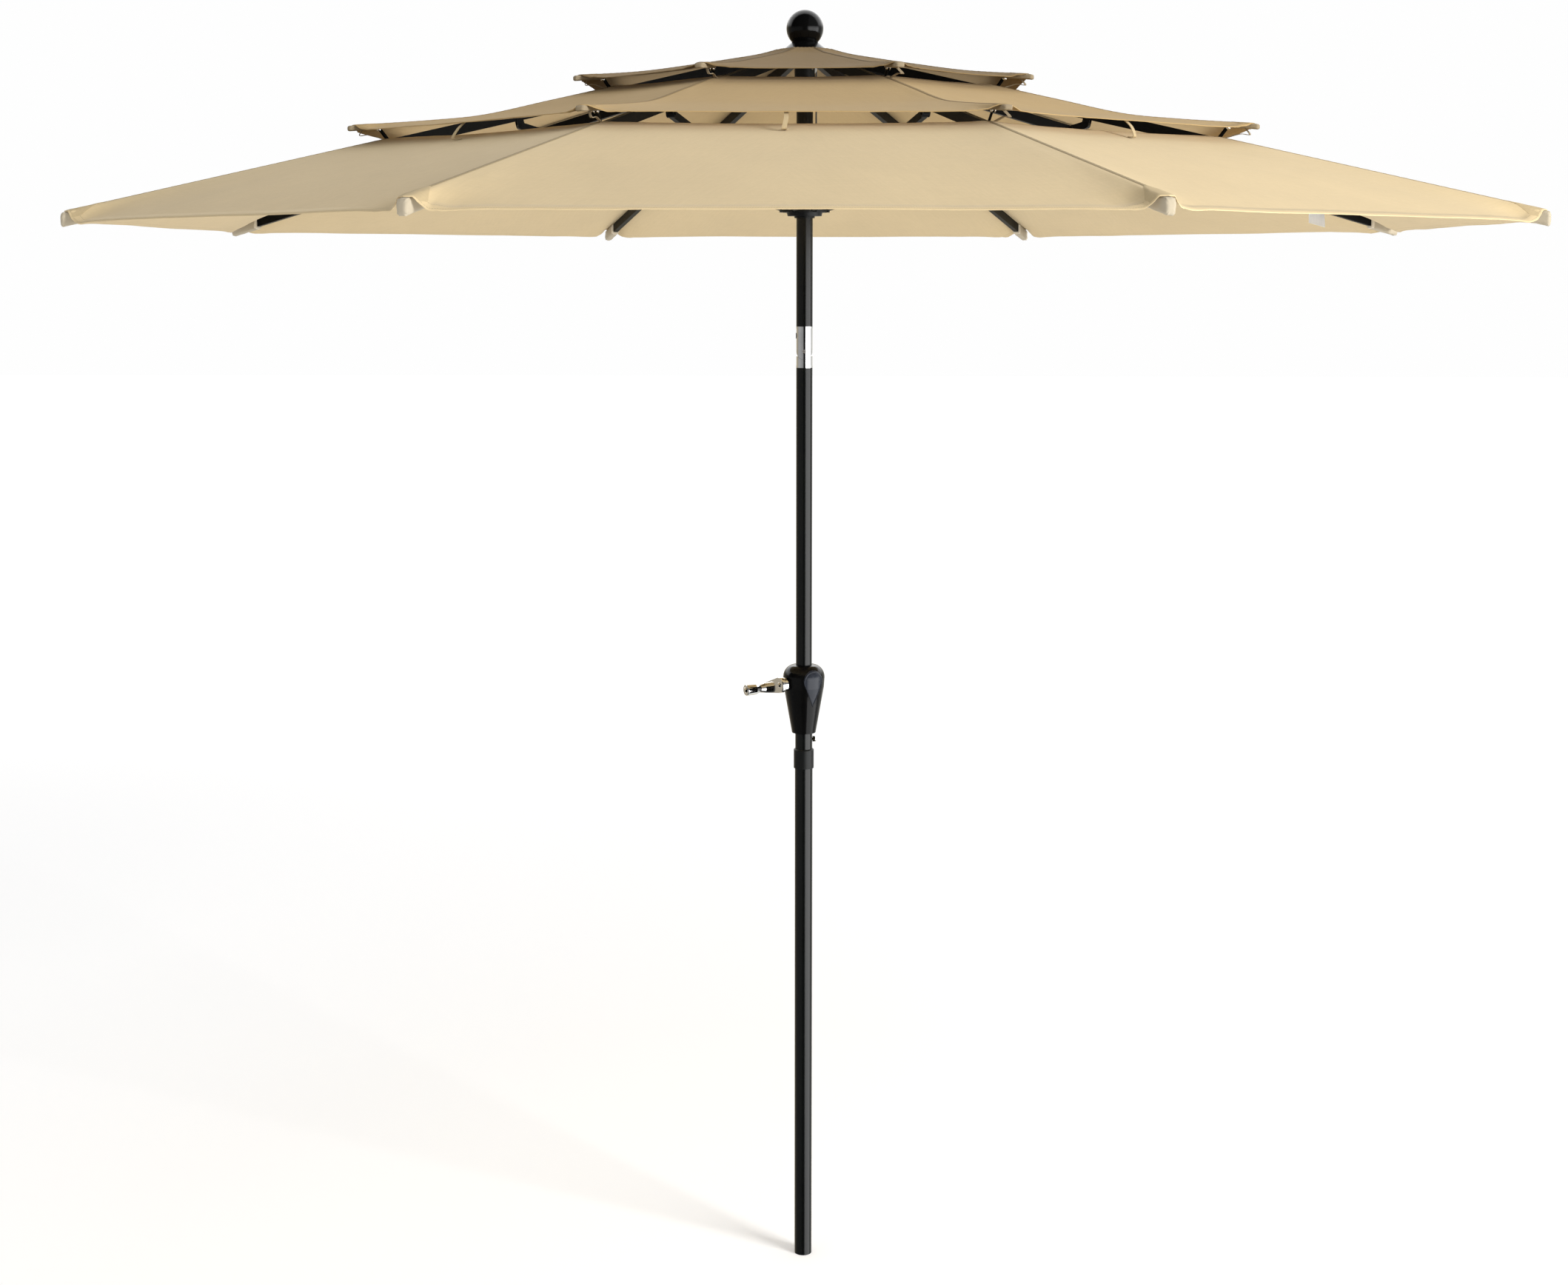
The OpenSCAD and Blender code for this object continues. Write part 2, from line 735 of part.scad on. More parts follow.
module rib(i) {
    s_top = 150;
    s_mid = 700;
    lug_x = strut_at;
    at_rib(i) {
        color(black) rib_frame() difference() {
            union() {
                translate([rib_start, -rib_w / 2, -rib_h / 2]) cube([rib_len - rib_start - 10, rib_w, rib_h]);
                translate([0, -tongue_w / 2, -tongue_r]) cube([rib_start + 1, tongue_w, 2 * tongue_r]);
                y_pin(tongue_r, tongue_w / 2);
                for (s = [0, 1]) mirror([0, s, 0]) translate([lug_x, ear_gap, -strut_drop]) {
                    translate([-ear_r, 0, 0]) cube([2 * ear_r, ear_w, strut_drop - 4]);
                    rotate([-90, 0, 0]) cylinder(r = ear_r, h = ear_w);
                }
            }
            translate([rib_start + 14, -rib_w / 2 + rib_wall, -rib_h / 2 + rib_wall])
                cube([rib_len, rib_w - 2 * rib_wall, rib_h - 2 * rib_wall]);
            y_pin(pin_r + slack, 10);
            translate([lug_x, 0, -strut_drop]) y_pin(joint_pin_r + seat, 12);
        }
        color(chrome) rib_frame() {
            translate([lug_x, 0, -strut_drop]) y_pin(joint_pin_r, ear_gap + ear_w + 1.5);
        }
        color(black) rib_frame() translate([rib_len - 10 + eps, -rib_w / 2, -rib_h / 2]) cube([10, rib_w, rib_h - 2]);
        color(black) {
            vent_rod([[s_top, 0, rib_top_z(s_top) + 2.7], under(top_profile[3]), under(top_profile[4] - [10, 0])]);
            vent_rod([[s_mid, 0, rib_top_z(s_mid) + 5], under(mid_profile[2]), under(mid_profile[3] - [10, 0])]);
        }
    }
}

module strut(i) {
    at_rib(i) strut_frame() {
        color(black) difference() {
            union() {
                translate([0, -strut_w / 2, -strut_h / 2]) cube([strut_len, strut_w, strut_h]);
                y_pin(strut_h / 2, strut_w / 2);
                translate([strut_len, 0, 0]) y_pin(strut_h / 2, strut_w / 2);
            }
            translate([14, -strut_w / 2 + 1.2, -strut_h / 2 + 1.2])
                cube([strut_len - 28, strut_w - 2.4, strut_h - 2.4]);
            y_pin(pin_r + seat, 10);
            translate([strut_len, 0, 0]) y_pin(joint_pin_r + slack, 10);
        }
        color(chrome) y_pin(pin_r, stub_half);
    }
}

module canopy_crown() {
    color(fabric) difference() {
        translate([0, 0, hub_top + 0.5]) cylinder(r = crown_r, h = 2);
        cylinder(r = stud_r + 1, h = hub_top + 10);
    }
}

module canopy_gore(i) {
    color(fabric) at_rib(i) {
        tier_sheet(lower_profile, sheet_t);
        tier_sheet(mid_profile, sheet_t);
        tier_sheet(top_profile, sheet_t);
    }
}

lower_pole();
foot_plug();
joint_collar();
joint_sleeve();
mid_pole();
crank_housing_front();
crank_housing_rear();
housing_screws();
housing_inlay();
spool_bushes();
brake_spring();
tilt_lower_bracket();
tilt_pin();
lift_cord_lower();
thumb_screw();
crank_shaft();
cord_spool();
crank_arm();
arm_screw();
knob_pin();
crank_knob();
tilt_button();
button_spring();
tilt_upper_bracket();
upper_pole();
top_hub();
hub_pins();
pulley_pin();
finial_base();
finial_ball();
lift_cord_upper();
lift_cord_run();
canopy_crown();
top_pulley();
runner();
runner_ring();
rib(1);  // rib_1
rib(2);  // rib_2
rib(3);  // rib_3
rib(4);  // rib_4
rib(5);  // rib_5
rib(6);  // rib_6
rib(7);  // rib_7
rib(8);  // rib_8
strut(1);  // strut_1
strut(2);  // strut_2
strut(3);  // strut_3
strut(4);  // strut_4
strut(5);  // strut_5
strut(6);  // strut_6
strut(7);  // strut_7
strut(8);  // strut_8
canopy_gore(1);  // canopy_gore_1
canopy_gore(2);  // canopy_gore_2
canopy_gore(3);  // canopy_gore_3
canopy_gore(4);  // canopy_gore_4
canopy_gore(5);  // canopy_gore_5
canopy_gore(6);  // canopy_gore_6
canopy_gore(7);  // canopy_gore_7
canopy_gore(8);  // canopy_gore_8
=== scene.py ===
"""Patio umbrella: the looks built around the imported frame.

Lengths are in metres, in the row frame: +Z up the pole, origin at the pole's foot.
Each rib carries its own part of the three cloth tiers, from one mid-panel line to the next.
"""
import json
import math

import bmesh
import bpy
from mathutils import Matrix, Vector, bvhtree, noise


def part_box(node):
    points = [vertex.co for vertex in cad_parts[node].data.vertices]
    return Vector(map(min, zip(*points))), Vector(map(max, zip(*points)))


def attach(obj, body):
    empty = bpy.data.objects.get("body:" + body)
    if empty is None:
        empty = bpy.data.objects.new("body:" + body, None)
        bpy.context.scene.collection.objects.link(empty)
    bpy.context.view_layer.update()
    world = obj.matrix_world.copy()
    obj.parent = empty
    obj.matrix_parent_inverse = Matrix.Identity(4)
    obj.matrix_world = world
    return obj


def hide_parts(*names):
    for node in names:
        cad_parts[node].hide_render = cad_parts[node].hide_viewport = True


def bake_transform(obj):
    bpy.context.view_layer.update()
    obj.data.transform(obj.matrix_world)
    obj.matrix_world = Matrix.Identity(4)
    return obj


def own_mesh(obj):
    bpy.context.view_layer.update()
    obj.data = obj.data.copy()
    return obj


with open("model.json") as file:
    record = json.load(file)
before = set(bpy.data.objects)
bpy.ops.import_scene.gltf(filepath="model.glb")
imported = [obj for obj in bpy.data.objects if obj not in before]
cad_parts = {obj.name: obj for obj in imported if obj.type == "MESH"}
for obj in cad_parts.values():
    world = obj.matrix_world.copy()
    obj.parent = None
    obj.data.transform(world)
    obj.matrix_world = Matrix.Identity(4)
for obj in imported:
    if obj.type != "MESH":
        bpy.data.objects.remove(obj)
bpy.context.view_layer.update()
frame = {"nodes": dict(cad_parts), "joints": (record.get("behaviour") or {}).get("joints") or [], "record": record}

# ---------- sizes that the frame shares ----------
RIBS = 8
HALF = math.pi / RIBS
COS_H = math.cos(HALF)
SIN_H = math.sin(HALF)
PIVOT_R = 0.045
HUB_Z = 2.595
TIP_R = 1.450
TIP_Z = 2.260
RIB_H = 0.020
SLOPE = (HUB_Z - TIP_Z) / (TIP_R - PIVOT_R)
SLOPE_ANGLE = math.atan(SLOPE)
HUB_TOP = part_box("top_hub")[1][2]
CLOTH_T = 0.0008
SEAM_R = 0.0042


def rib_top(r):
    """Height of the top face of a rib at radius r."""
    return HUB_Z - (r - PIVOT_R) * SLOPE + RIB_H / 2 / math.cos(SLOPE_ANGLE)


def smooth(x):
    x = min(max(x, 0.0), 1.0)
    return x * x * (3 - 2 * x)


def curve_at(points, r):
    """Smooth curve through (radius, height) points, by cubic Hermite pieces."""
    def slope(k):
        lo, hi = max(k - 1, 0), min(k + 1, len(points) - 1)
        return (points[hi][1] - points[lo][1]) / (points[hi][0] - points[lo][0])
    for k in range(len(points) - 1):
        (r0, z0), (r1, z1) = points[k], points[k + 1]
        if r <= r1 or k == len(points) - 2:
            h = r1 - r0
            t = (r - r0) / h
            m0, m1 = slope(k) * h, slope(k + 1) * h
            return ((2 * t**3 - 3 * t**2 + 1) * z0 + (t**3 - 2 * t**2 + t) * m0
                    + (3 * t**2 - 2 * t**3) * z1 + (t**3 - t**2) * m1)


def above_rib(r, lift):
    return (r, rib_top(r) + lift)


# Underside of each tier along its rib, then: sag of the hem at mid-panel, dip of the hem beside the corner,
# how far from the rib the sag has grown at the inner edge and at the hem, how far the hem curves inwards,
# the number of rows, the length of the corner pocket, and how far to each side of the rib the cloth lies
# flat over the rib, and over the pocket
TIERS = {
    "lower": dict(
        line=[above_rib(0.855, 0.0014), above_rib(1.150, 0.0014), above_rib(TIP_R, 0.0014)],
        sag=0.0185, dip=0.008, reach=(0.150, 0.016), pull_in=0.008, rows=44, pocket=0.066,
        flat=(0.0070, 0.0122)),
    "middle": dict(
        line=[above_rib(0.400, 0.0040), above_rib(0.540, 0.0042), above_rib(0.668, 0.0050),
              above_rib(0.768, 0.0165), above_rib(0.922, 0.0400)],
        sag=0.0105, dip=0.003, reach=(0.120, 0.030), pull_in=0.010, rows=40, pocket=0.060,
        flat=(0.0070, 0.0095)),
    "top": dict(
        line=[(0.0505, HUB_TOP + 0.0014), above_rib(0.100, 0.0024), above_rib(0.147, 0.0048),
              above_rib(0.230, 0.0104), above_rib(0.349, 0.0205), above_rib(0.478, 0.0400)],
        sag=0.0090, dip=0.002, reach=(0.100, 0.030), pull_in=0.008, rows=38, pocket=0.050,
        flat=(0.0060, 0.0095)),
}
for sizes in TIERS.values():
    sizes["r_in"] = sizes["line"][0][0]
    sizes["r_out"] = sizes["line"][-1][0]


def rib_angle(i):
    return HALF + (i - 1) * 2 * HALF


def wrinkle(p, corner_far):
    """Small unevenness of stretched cloth: long soft waves, grain, and creases close to the corner."""
    long_wave = noise.noise(Vector((p.x * 5.0, p.y * 5.0, 3.7))) * 0.0018
    fine = noise.noise(Vector((p.x * 19.0, p.y * 19.0, 9.1))) * 0.0006
    crease = math.exp(-(corner_far / 0.055) ** 2) * noise.noise(Vector((p.x * 70, p.y * 70, 4.2))) * 0.0045
    return long_wave + fine + crease


def cloth_point(tier, r, a, lift):
    """Point of a tier in the frame of its rib: r is the radius of the row at the rib, a runs from -1 to 1
    between the two mid-panel lines."""
    side = -1 if a < 0 else 1
    b = abs(a)
    x = r * (1 - (1 - COS_H * COS_H) * b)
    d = r * COS_H * SIN_H * b
    z = curve_at(tier["line"], r)
    out = (r - tier["r_in"]) / (tier["r_out"] - tier["r_in"])
    reach = tier["reach"][0] * (1 - out) + tier["reach"][1] * out
    near_hem = smooth(1.3 - (tier["r_out"] - r) / tier["pocket"])
    flat = tier["flat"][0] + (tier["flat"][1] - tier["flat"][0]) * near_hem
    off = max(d - flat, 0.0) ** 2 / (abs(d - flat) + 0.004)
    z -= tier["sag"] * (0.25 + 0.75 * out * out) * (1 - math.exp(-off / reach))
    z -= tier["dip"] * near_hem * (1 - math.exp(-off / 0.008)) * math.exp(-(d / 0.065) ** 2)
    inward = tier["pull_in"] * (1 - (1 - b) ** 2) * smooth(out)
    return Vector((x - inward * COS_H, side * (d - inward * SIN_H), z + lift))


def at_rib(i, p):
    """A point of a rib's own frame in the row frame."""
    return Matrix.Rotation(rib_angle(i), 3, "Z") @ p


def cloth_world(i, tier, r, a, lift=0.0):
    p = at_rib(i, cloth_point(tier, r, a, lift))
    off_rib = r * COS_H * SIN_H * abs(a)
    corner_far = math.hypot(tier["r_out"] - r, off_rib)
    p.z += wrinkle(p, corner_far) * smooth((off_rib - tier["flat"][1]) / 0.02)
    return p


# ---------- mesh helpers ----------

def new_object(name, verts, faces, uvs=None):
    mesh = bpy.data.meshes.new(name)
    mesh.from_pydata([tuple(v) for v in verts], [], faces)
    if uvs:
        layer = mesh.uv_layers.new(name="UVMap")
        for loop in mesh.loops:
            layer.data[loop.index].uv = uvs[loop.vertex_index]
    mesh.validate()
    mesh.update()
    for poly in mesh.polygons:
        poly.use_smooth = True
    obj = bpy.data.objects.new(name, mesh)
    bpy.context.scene.collection.objects.link(obj)
    return obj


def solid_grid(name, low, high, uv):
    """Closed sheet between two grids of points of the same size, with a third grid of its UVs."""
    rows, cols = len(low), len(low[0])
    verts = [p for row in low for p in row] + [p for row in high for p in row]
    n = rows * cols
    faces = []
    for r in range(rows - 1):
        for c in range(cols - 1):
            a, b = r * cols + c, r * cols + c + 1
            d, e = (r + 1) * cols + c, (r + 1) * cols + c + 1
            faces.append((a, d, e, b))
            faces.append((n + a, n + b, n + e, n + d))
    for c in range(cols - 1):
        faces.append((c, c + 1, n + c + 1, n + c))
        last = (rows - 1) * cols + c
        faces.append((last + 1, last, n + last, n + last + 1))
    for r in range(rows - 1):
        a, b = r * cols, (r + 1) * cols
        faces.append((b, a, n + a, n + b))
        a, b = a + cols - 1, b + cols - 1
        faces.append((a, b, n + b, n + a))
    obj = new_object(name, verts, faces, [q for row in uv for q in row] * 2)
    for edge in obj.data.edges:
        a, b = (v % n for v in edge.vertices)
        rim = [v // cols in (0, rows - 1) for v in (a, b)], [v % cols in (0, cols - 1) for v in (a, b)]
        edge.use_edge_sharp = all(rim[0]) and a // cols == b // cols or all(rim[1]) and a % cols == b % cols
    return obj


def lofted_tube(name, rings):
    """Closed skin through rings of the same number of points, with a fan over each end."""
    count = len(rings[0])
    verts = [p for ring in rings for p in ring]
    faces = []
    for k in range(len(rings) - 1):
        for c in range(count):
            d = (c + 1) % count
            faces.append((k * count + c, k * count + d, (k + 1) * count + d, (k + 1) * count + c))
    for ring, flip in ((0, True), (len(rings) - 1, False)):
        centre = sum((Vector(p) for p in rings[ring]), Vector()) / count
        verts.append(centre)
        hub = len(verts) - 1
        for c in range(count):
            d = (c + 1) % count
            pair = (ring * count + d, ring * count + c) if flip else (ring * count + c, ring * count + d)
            faces.append((hub, *pair))
    return new_object(name, verts, faces)


def strap(name, path, width, thick, side):
    """Flat woven strap along a path; side is the direction across it."""
    low, high, uv = [], [], []
    run = 0.0
    for k, p in enumerate(path):
        p = Vector(p)
        ahead = Vector(path[min(k + 1, len(path) - 1)]) - Vector(path[max(k - 1, 0)])
        across = Vector(side).normalized()
        up = ahead.normalized().cross(across)
        if k:
            run += (p - Vector(path[k - 1])).length
        cols = [-1, -0.6, 0, 0.6, 1]
        low.append([p + across * (width / 2 * c) - up * thick / 2 for c in cols])
        high.append([p + across * (width / 2 * c) + up * thick / 2 for c in cols])
        uv.append([(width / 2 * c, run) for c in cols])
    return solid_grid(name, low, high, uv)


def spline(points):
    """Catmull-Rom points through the given ones."""
    steps = 6
    pts = [Vector(p) for p in points]
    pts = [2 * pts[0] - pts[1]] + pts + [2 * pts[-1] - pts[-2]]
    out = []
    for k in range(1, len(pts) - 2):
        p0, p1, p2, p3 = pts[k - 1:k + 3]
        for s in range(steps):
            t = s / steps
            out.append(0.5 * ((2 * p1) + (p2 - p0) * t + (2 * p0 - 5 * p1 + 4 * p2 - p3) * t * t
                              + (3 * p1 - p0 - 3 * p2 + p3) * t**3))
    out.append(pts[-2])
    return out


# ---------- materials ----------

class Nodes:
    """Short form for building a shader tree."""

    def __init__(self, name):
        self.mat = bpy.data.materials.new(name)
        self.mat.use_nodes = True
        self.tree = self.mat.node_tree
        self.bsdf = self.tree.nodes["Principled BSDF"]

    def add(self, kind, **values):
        node = self.tree.nodes.new(kind)
        for key, value in values.items():
            if hasattr(node, key):
                setattr(node, key, value)
            else:
                node.inputs[key.replace("_", " ")].default_value = value
        return node

    def link(self, a, b):
        self.tree.links.new(a, b)

    def set(self, **values):
        for key, value in values.items():
            self.bsdf.inputs[key.replace("_", " ")].default_value = value

    def coords(self, scale, kind="Object"):
        source = self.add("ShaderNodeTexCoord")
        mapping = self.add("ShaderNodeMapping")
        mapping.inputs["Scale"].default_value = scale if hasattr(scale, "__len__") else (scale,) * 3
        self.link(source.outputs[kind], mapping.inputs["Vector"])
        return mapping.outputs["Vector"]

    def noise(self, vector, scale, detail=4.0, roughness=0.55):
        node = self.add("ShaderNodeTexNoise", Scale=scale, Detail=detail, Roughness=roughness)
        self.link(vector, node.inputs["Vector"])
        return node.outputs["Fac"]

    def wave(self, vector, scale, direction, distortion):
        node = self.add("ShaderNodeTexWave", wave_type="BANDS", bands_direction=direction, Scale=scale)
        node.inputs["Distortion"].default_value = distortion
        self.link(vector, node.inputs["Vector"])
        return node.outputs["Fac"]

    def ramp(self, fac, stops):
        node = self.add("ShaderNodeValToRGB")
        ramp = node.color_ramp
        while len(ramp.elements) < len(stops):
            ramp.elements.new(0.5)
        for element, (place, colour) in zip(ramp.elements, stops):
            element.position = place
            element.color = (*colour, 1.0)
        self.link(fac, node.inputs["Fac"])
        return node.outputs["Color"]

    def span(self, fac, low, high, from_low=0.0, from_high=1.0):
        node = self.add("ShaderNodeMapRange")
        node.inputs["From Min"].default_value = from_low
        node.inputs["From Max"].default_value = from_high
        node.inputs["To Min"].default_value = low
        node.inputs["To Max"].default_value = high
        self.link(fac, node.inputs["Value"])
        return node.outputs["Result"]

    def maths(self, kind, *values):
        node = self.add("ShaderNodeMath", operation=kind)
        for k, value in enumerate(values):
            if isinstance(value, (int, float)):
                node.inputs[k].default_value = value
            else:
                self.link(value, node.inputs[k])
        return node.outputs[0]

    def mix(self, fac, a, b):
        node = self.add("ShaderNodeMix", data_type="RGBA")
        for socket, value in ((0, fac), (6, a), (7, b)):
            if hasattr(value, "links"):
                self.link(value, node.inputs[socket])
            else:
                node.inputs[socket].default_value = value
        return node.outputs[2]

    def bump(self, height, strength, distance):
        node = self.add("ShaderNodeBump", Strength=strength, Distance=distance)
        self.link(height, node.inputs["Height"])
        if self.bsdf.inputs["Normal"].links:
            self.link(self.bsdf.inputs["Normal"].links[0].from_socket, node.inputs["Normal"])
        self.link(node.outputs["Normal"], self.bsdf.inputs["Normal"])


STITCH_PITCH = 0.0036
STITCH_W = 0.0009
STITCH_SHARE = 0.68


def stitch_lines(n, vector, across, lines):
    """Mask of dashed stitch lines at the given places across the piece's own metres."""
    split = n.add("ShaderNodeSeparateXYZ")
    n.link(vector, split.inputs[0])
    along = "Y" if across == "X" else "X"
    count = n.maths("MULTIPLY", split.outputs[along], 1 / STITCH_PITCH)
    dash = n.maths("LESS_THAN", n.maths("FRACT", count), STITCH_SHARE)
    masks = [n.maths("COMPARE", split.outputs[across], place, STITCH_W / 2) for place in lines]
    return n.maths("MULTIPLY", n.maths("MAXIMUM", *masks), dash)


def cloth_material(name, light, dark, thread=0.0007, stitches=None, sheen=0.12):
    """Woven polyester: warp and weft from the piece's own metres, slubs, soft mottling and a faint sheen.
    stitches is (axis across the lines, their two places)."""
    n = Nodes(name)
    weave_uv = n.coords(1.0, "UV")
    place = n.coords(1.0)
    threads = 1 / thread / (2 * math.pi)
    warp = n.wave(weave_uv, threads, "X", 0.4)
    weft = n.wave(weave_uv, threads, "Y", 0.4)
    weave = n.maths("MAXIMUM", warp, weft)
    slub = n.noise(n.coords((260.0, 14.0, 14.0), "UV"), 1.0, 3.0)
    slub_across = n.noise(n.coords((14.0, 260.0, 14.0), "UV"), 1.0, 3.0)
    mottle = n.noise(place, 3.1, 5.0, 0.6)
    grain = n.noise(place, 150.0, 3.0, 0.7)
    base = n.ramp(mottle, [(0.28, dark), (0.72, light)])
    base = n.mix(n.span(slub, 0.0, 0.20, 0.35, 0.75), base, (*[c * 0.78 for c in dark], 1))
    base = n.mix(n.span(slub_across, 0.0, 0.16, 0.35, 0.75), base, (*[min(c * 1.18, 1) for c in light], 1))
    base = n.mix(n.span(grain, 0.0, 0.30, 0.3, 0.8), base, (*[c * 0.82 for c in light], 1))
    if stitches:
        sewn = stitch_lines(n, weave_uv, *stitches)
        base = n.mix(sewn, base, (*[c * 0.66 for c in dark], 1))
        n.bump(sewn, 0.6, 0.0004)
    n.link(base, n.bsdf.inputs["Base Color"])
    n.link(n.span(mottle, 0.82, 0.94), n.bsdf.inputs["Roughness"])
    n.set(Sheen_Weight=sheen, Sheen_Roughness=0.5, Specular_IOR_Level=0.12)
    n.bump(weave, 0.25, 0.0003)
    n.bump(grain, 0.22, 0.0007)
    n.bump(mottle, 0.10, 0.004)
    return n.mat


def coat_material(name, colour, rough, pit, specular, wear):
    """Powder coat or moulded plastic: orange-peel bump, cloudy gloss and paler scuffs."""
    n = Nodes(name)
    place = n.coords(1.0)
    cloud = n.noise(place, 9.0, 4.0)
    peel = n.noise(place, pit, 3.0, 0.6)
    scuff = n.noise(n.coords((40.0, 40.0, 4.0)), 6.0, 6.0, 0.7)
    pale = tuple(min(c * 2.4 + 0.004, 1) for c in colour)
    base = n.ramp(cloud, [(0.3, tuple(c * 0.7 for c in colour)), (0.7, colour)])
    base = n.mix(n.span(scuff, 0.0, wear, 0.6, 0.85), base, (*pale, 1))
    n.link(base, n.bsdf.inputs["Base Color"])
    n.link(n.maths("ADD", n.span(cloud, rough * 0.85, rough * 1.2), n.span(scuff, 0.0, 0.10, 0.5, 0.9)),
           n.bsdf.inputs["Roughness"])
    n.set(Specular_IOR_Level=specular)
    n.bump(peel, 0.22, 0.0004)
    return n.mat


def metal_material(name, colour, rough, streak=0.05):
    """Plated or drawn metal: fine streaks, smudges and a little tarnish."""
    n = Nodes(name)
    place = n.coords(1.0)
    smudge = n.noise(place, 24.0, 5.0, 0.6)
    lines = n.noise(n.coords((900.0, 900.0, 30.0)), 1.0, 2.0)
    base = n.ramp(smudge, [(0.25, tuple(c * 0.84 for c in colour)), (0.6, colour)])
    n.link(base, n.bsdf.inputs["Base Color"])
    n.link(n.maths("ADD", n.span(smudge, rough * 0.7, rough * 1.6), n.span(lines, 0.0, streak)),
           n.bsdf.inputs["Roughness"])
    n.set(Metallic=1.0)
    n.bump(lines, 0.06, 0.0002)
    return n.mat


def cord_material(name, colour):
    """Braided cord: crossing diagonal strands."""
    n = Nodes(name)
    place = n.coords(1.0)
    left = n.wave(place, 180.0, "DIAGONAL", 1.0)
    right = n.wave(n.coords((-1.0, -1.0, 1.0)), 180.0, "DIAGONAL", 1.0)
    braid = n.maths("MAXIMUM", left, right)
    base = n.ramp(braid, [(0.2, tuple(c * 0.5 for c in colour)), (0.9, colour)])
    n.link(base, n.bsdf.inputs["Base Color"])
    n.link(n.span(braid, 0.9, 0.7), n.bsdf.inputs["Roughness"])
    n.bump(braid, 0.5, 0.0005)
    return n.mat


def shade(colour, red, green=None, blue=None):
    """A colour multiplied by one share, or by one for each channel."""
    return tuple(c * k for c, k in zip(colour, (red, green or red, blue or red)))


# Painted shade: the middle and top tiers look darker and browner than the lower one, and that shade is painted
# into their cloth's colour
BEIGE = (0.625, 0.492, 0.288)
MIDDLE_BEIGE_PAINTED_SHADE = shade(BEIGE, 0.73, 0.65, 0.52)
TOP_BEIGE_PAINTED_SHADE = shade(BEIGE, 0.38, 0.33, 0.26)
TIER_COLOUR_AND_SHADE = {"lower": BEIGE, "middle": MIDDLE_BEIGE_PAINTED_SHADE, "top": TOP_BEIGE_PAINTED_SHADE}
# Axis across the stitch lines, and their distances from the hem's edge or from the seam's middle
HEM_LINES = ("Y", (0.0035, 0.0150))
SEAM_LINES = ("X", (-0.0028, 0.0028))
# One cloth for each tier: lit and shaded copies of the same cloth, the upper two darker by painted shade and with
# less sheen
TIER_CLOTH_AND_SHADE = {
    name: cloth_material(f"canopy_cloth_tier_shade_{name}", TIER_COLOUR_AND_SHADE[name], shade(TIER_COLOUR_AND_SHADE[name], dark),
                         stitches=HEM_LINES, sheen=sheen)
    for name, dark, sheen in (("lower", 0.90, 0.08), ("middle", 0.88, 0.05), ("top", 0.84, 0.03))
}
# Painted shade: the seam cloth over each rib is coloured darker than its tier's cloth, on top of the upper tiers'
# painted shade; its stitch lines are real thread
SEAM_CLOTH_SHADED = {
    name: cloth_material(f"seam_cloth_shaded_{name}", shade(colour, 0.60), shade(colour, 0.50),
                         stitches=SEAM_LINES, sheen=0.04)
    for name, colour in TIER_COLOUR_AND_SHADE.items()
}
# The corner cloth is coloured from each tier's colour, so it carries the middle and top tiers' painted shade
CORNER_CLOTH = {
    name: cloth_material(f"corner_cloth_{name}", shade(colour, 0.82), shade(colour, 0.70), sheen=0.04)
    for name, colour in TIER_COLOUR_AND_SHADE.items()
}
patch_cloth = cloth_material("patch_cloth", (0.33, 0.27, 0.18), (0.25, 0.20, 0.13), 0.0011, sheen=0.05)
pocket_cloth = cloth_material("pocket_cloth", (0.47, 0.41, 0.31), (0.36, 0.31, 0.22), 0.0011, sheen=0.05)
lining_cloth = cloth_material("lining_cloth", (0.70, 0.63, 0.50), (0.60, 0.53, 0.41), 0.0009)
label_cloth = cloth_material("label_cloth", (0.88, 0.88, 0.87), (0.80, 0.80, 0.79), 0.0004)
frame_coat = coat_material("frame_coat", (0.0035, 0.0042, 0.0040), 0.17, 520.0, 0.27, 0.30)
rib_coat = coat_material("rib_coat", (0.0030, 0.0034, 0.0036), 0.42, 520.0, 0.10, 0.30)
gloss_plastic = coat_material("gloss_plastic", (0.003, 0.003, 0.003), 0.09, 240.0, 0.17, 0.10)
matte_plastic = coat_material("matte_plastic", (0.007, 0.008, 0.008), 0.40, 900.0, 0.20, 0.35)
inlay_plastic = coat_material("inlay_plastic", (0.017, 0.020, 0.028), 0.22, 300.0, 0.22, 0.15)
nylon_plastic = coat_material("nylon_plastic", (0.70, 0.69, 0.64), 0.45, 600.0, 0.50, 0.2)
chrome_metal = metal_material("chrome_metal", (0.86, 0.86, 0.86), 0.05)
pin_metal = metal_material("pin_metal", (0.52, 0.52, 0.53), 0.28, 0.12)
lift_cord_cloth = cord_material("lift_cord_cloth", (0.07, 0.07, 0.07))


# ---------- carried-over parts ----------

SLOT_MATERIAL = {
    "frame_black": frame_coat,
    "gloss_black_plastic": gloss_plastic,
    "black_plastic": matte_plastic,
    "inlay_plastic": inlay_plastic,
    "chrome": chrome_metal,
    "pin_steel": pin_metal,
    "nylon": nylon_plastic,
    "lift_cord": lift_cord_cloth,
    "canopy_fabric": TIER_CLOTH_AND_SHADE["top"],
}


def dress_frame():
    slots = {s["node"]: s["material_slot"] for s in frame["record"]["subparts"]}
    for name, obj in frame["nodes"].items():
        material = rib_coat if name.startswith(("rib_", "strut_")) else SLOT_MATERIAL[slots[name]]
        for slot in obj.material_slots:
            slot.link = "OBJECT"
            slot.material = material


def button_spring():
    """Gives the spring behind the tilt button a mesh of its own."""
    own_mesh(frame["nodes"]["button_spring"])


INLAY_W = 0.0454
INLAY_Z = (1.2510, 1.3073)


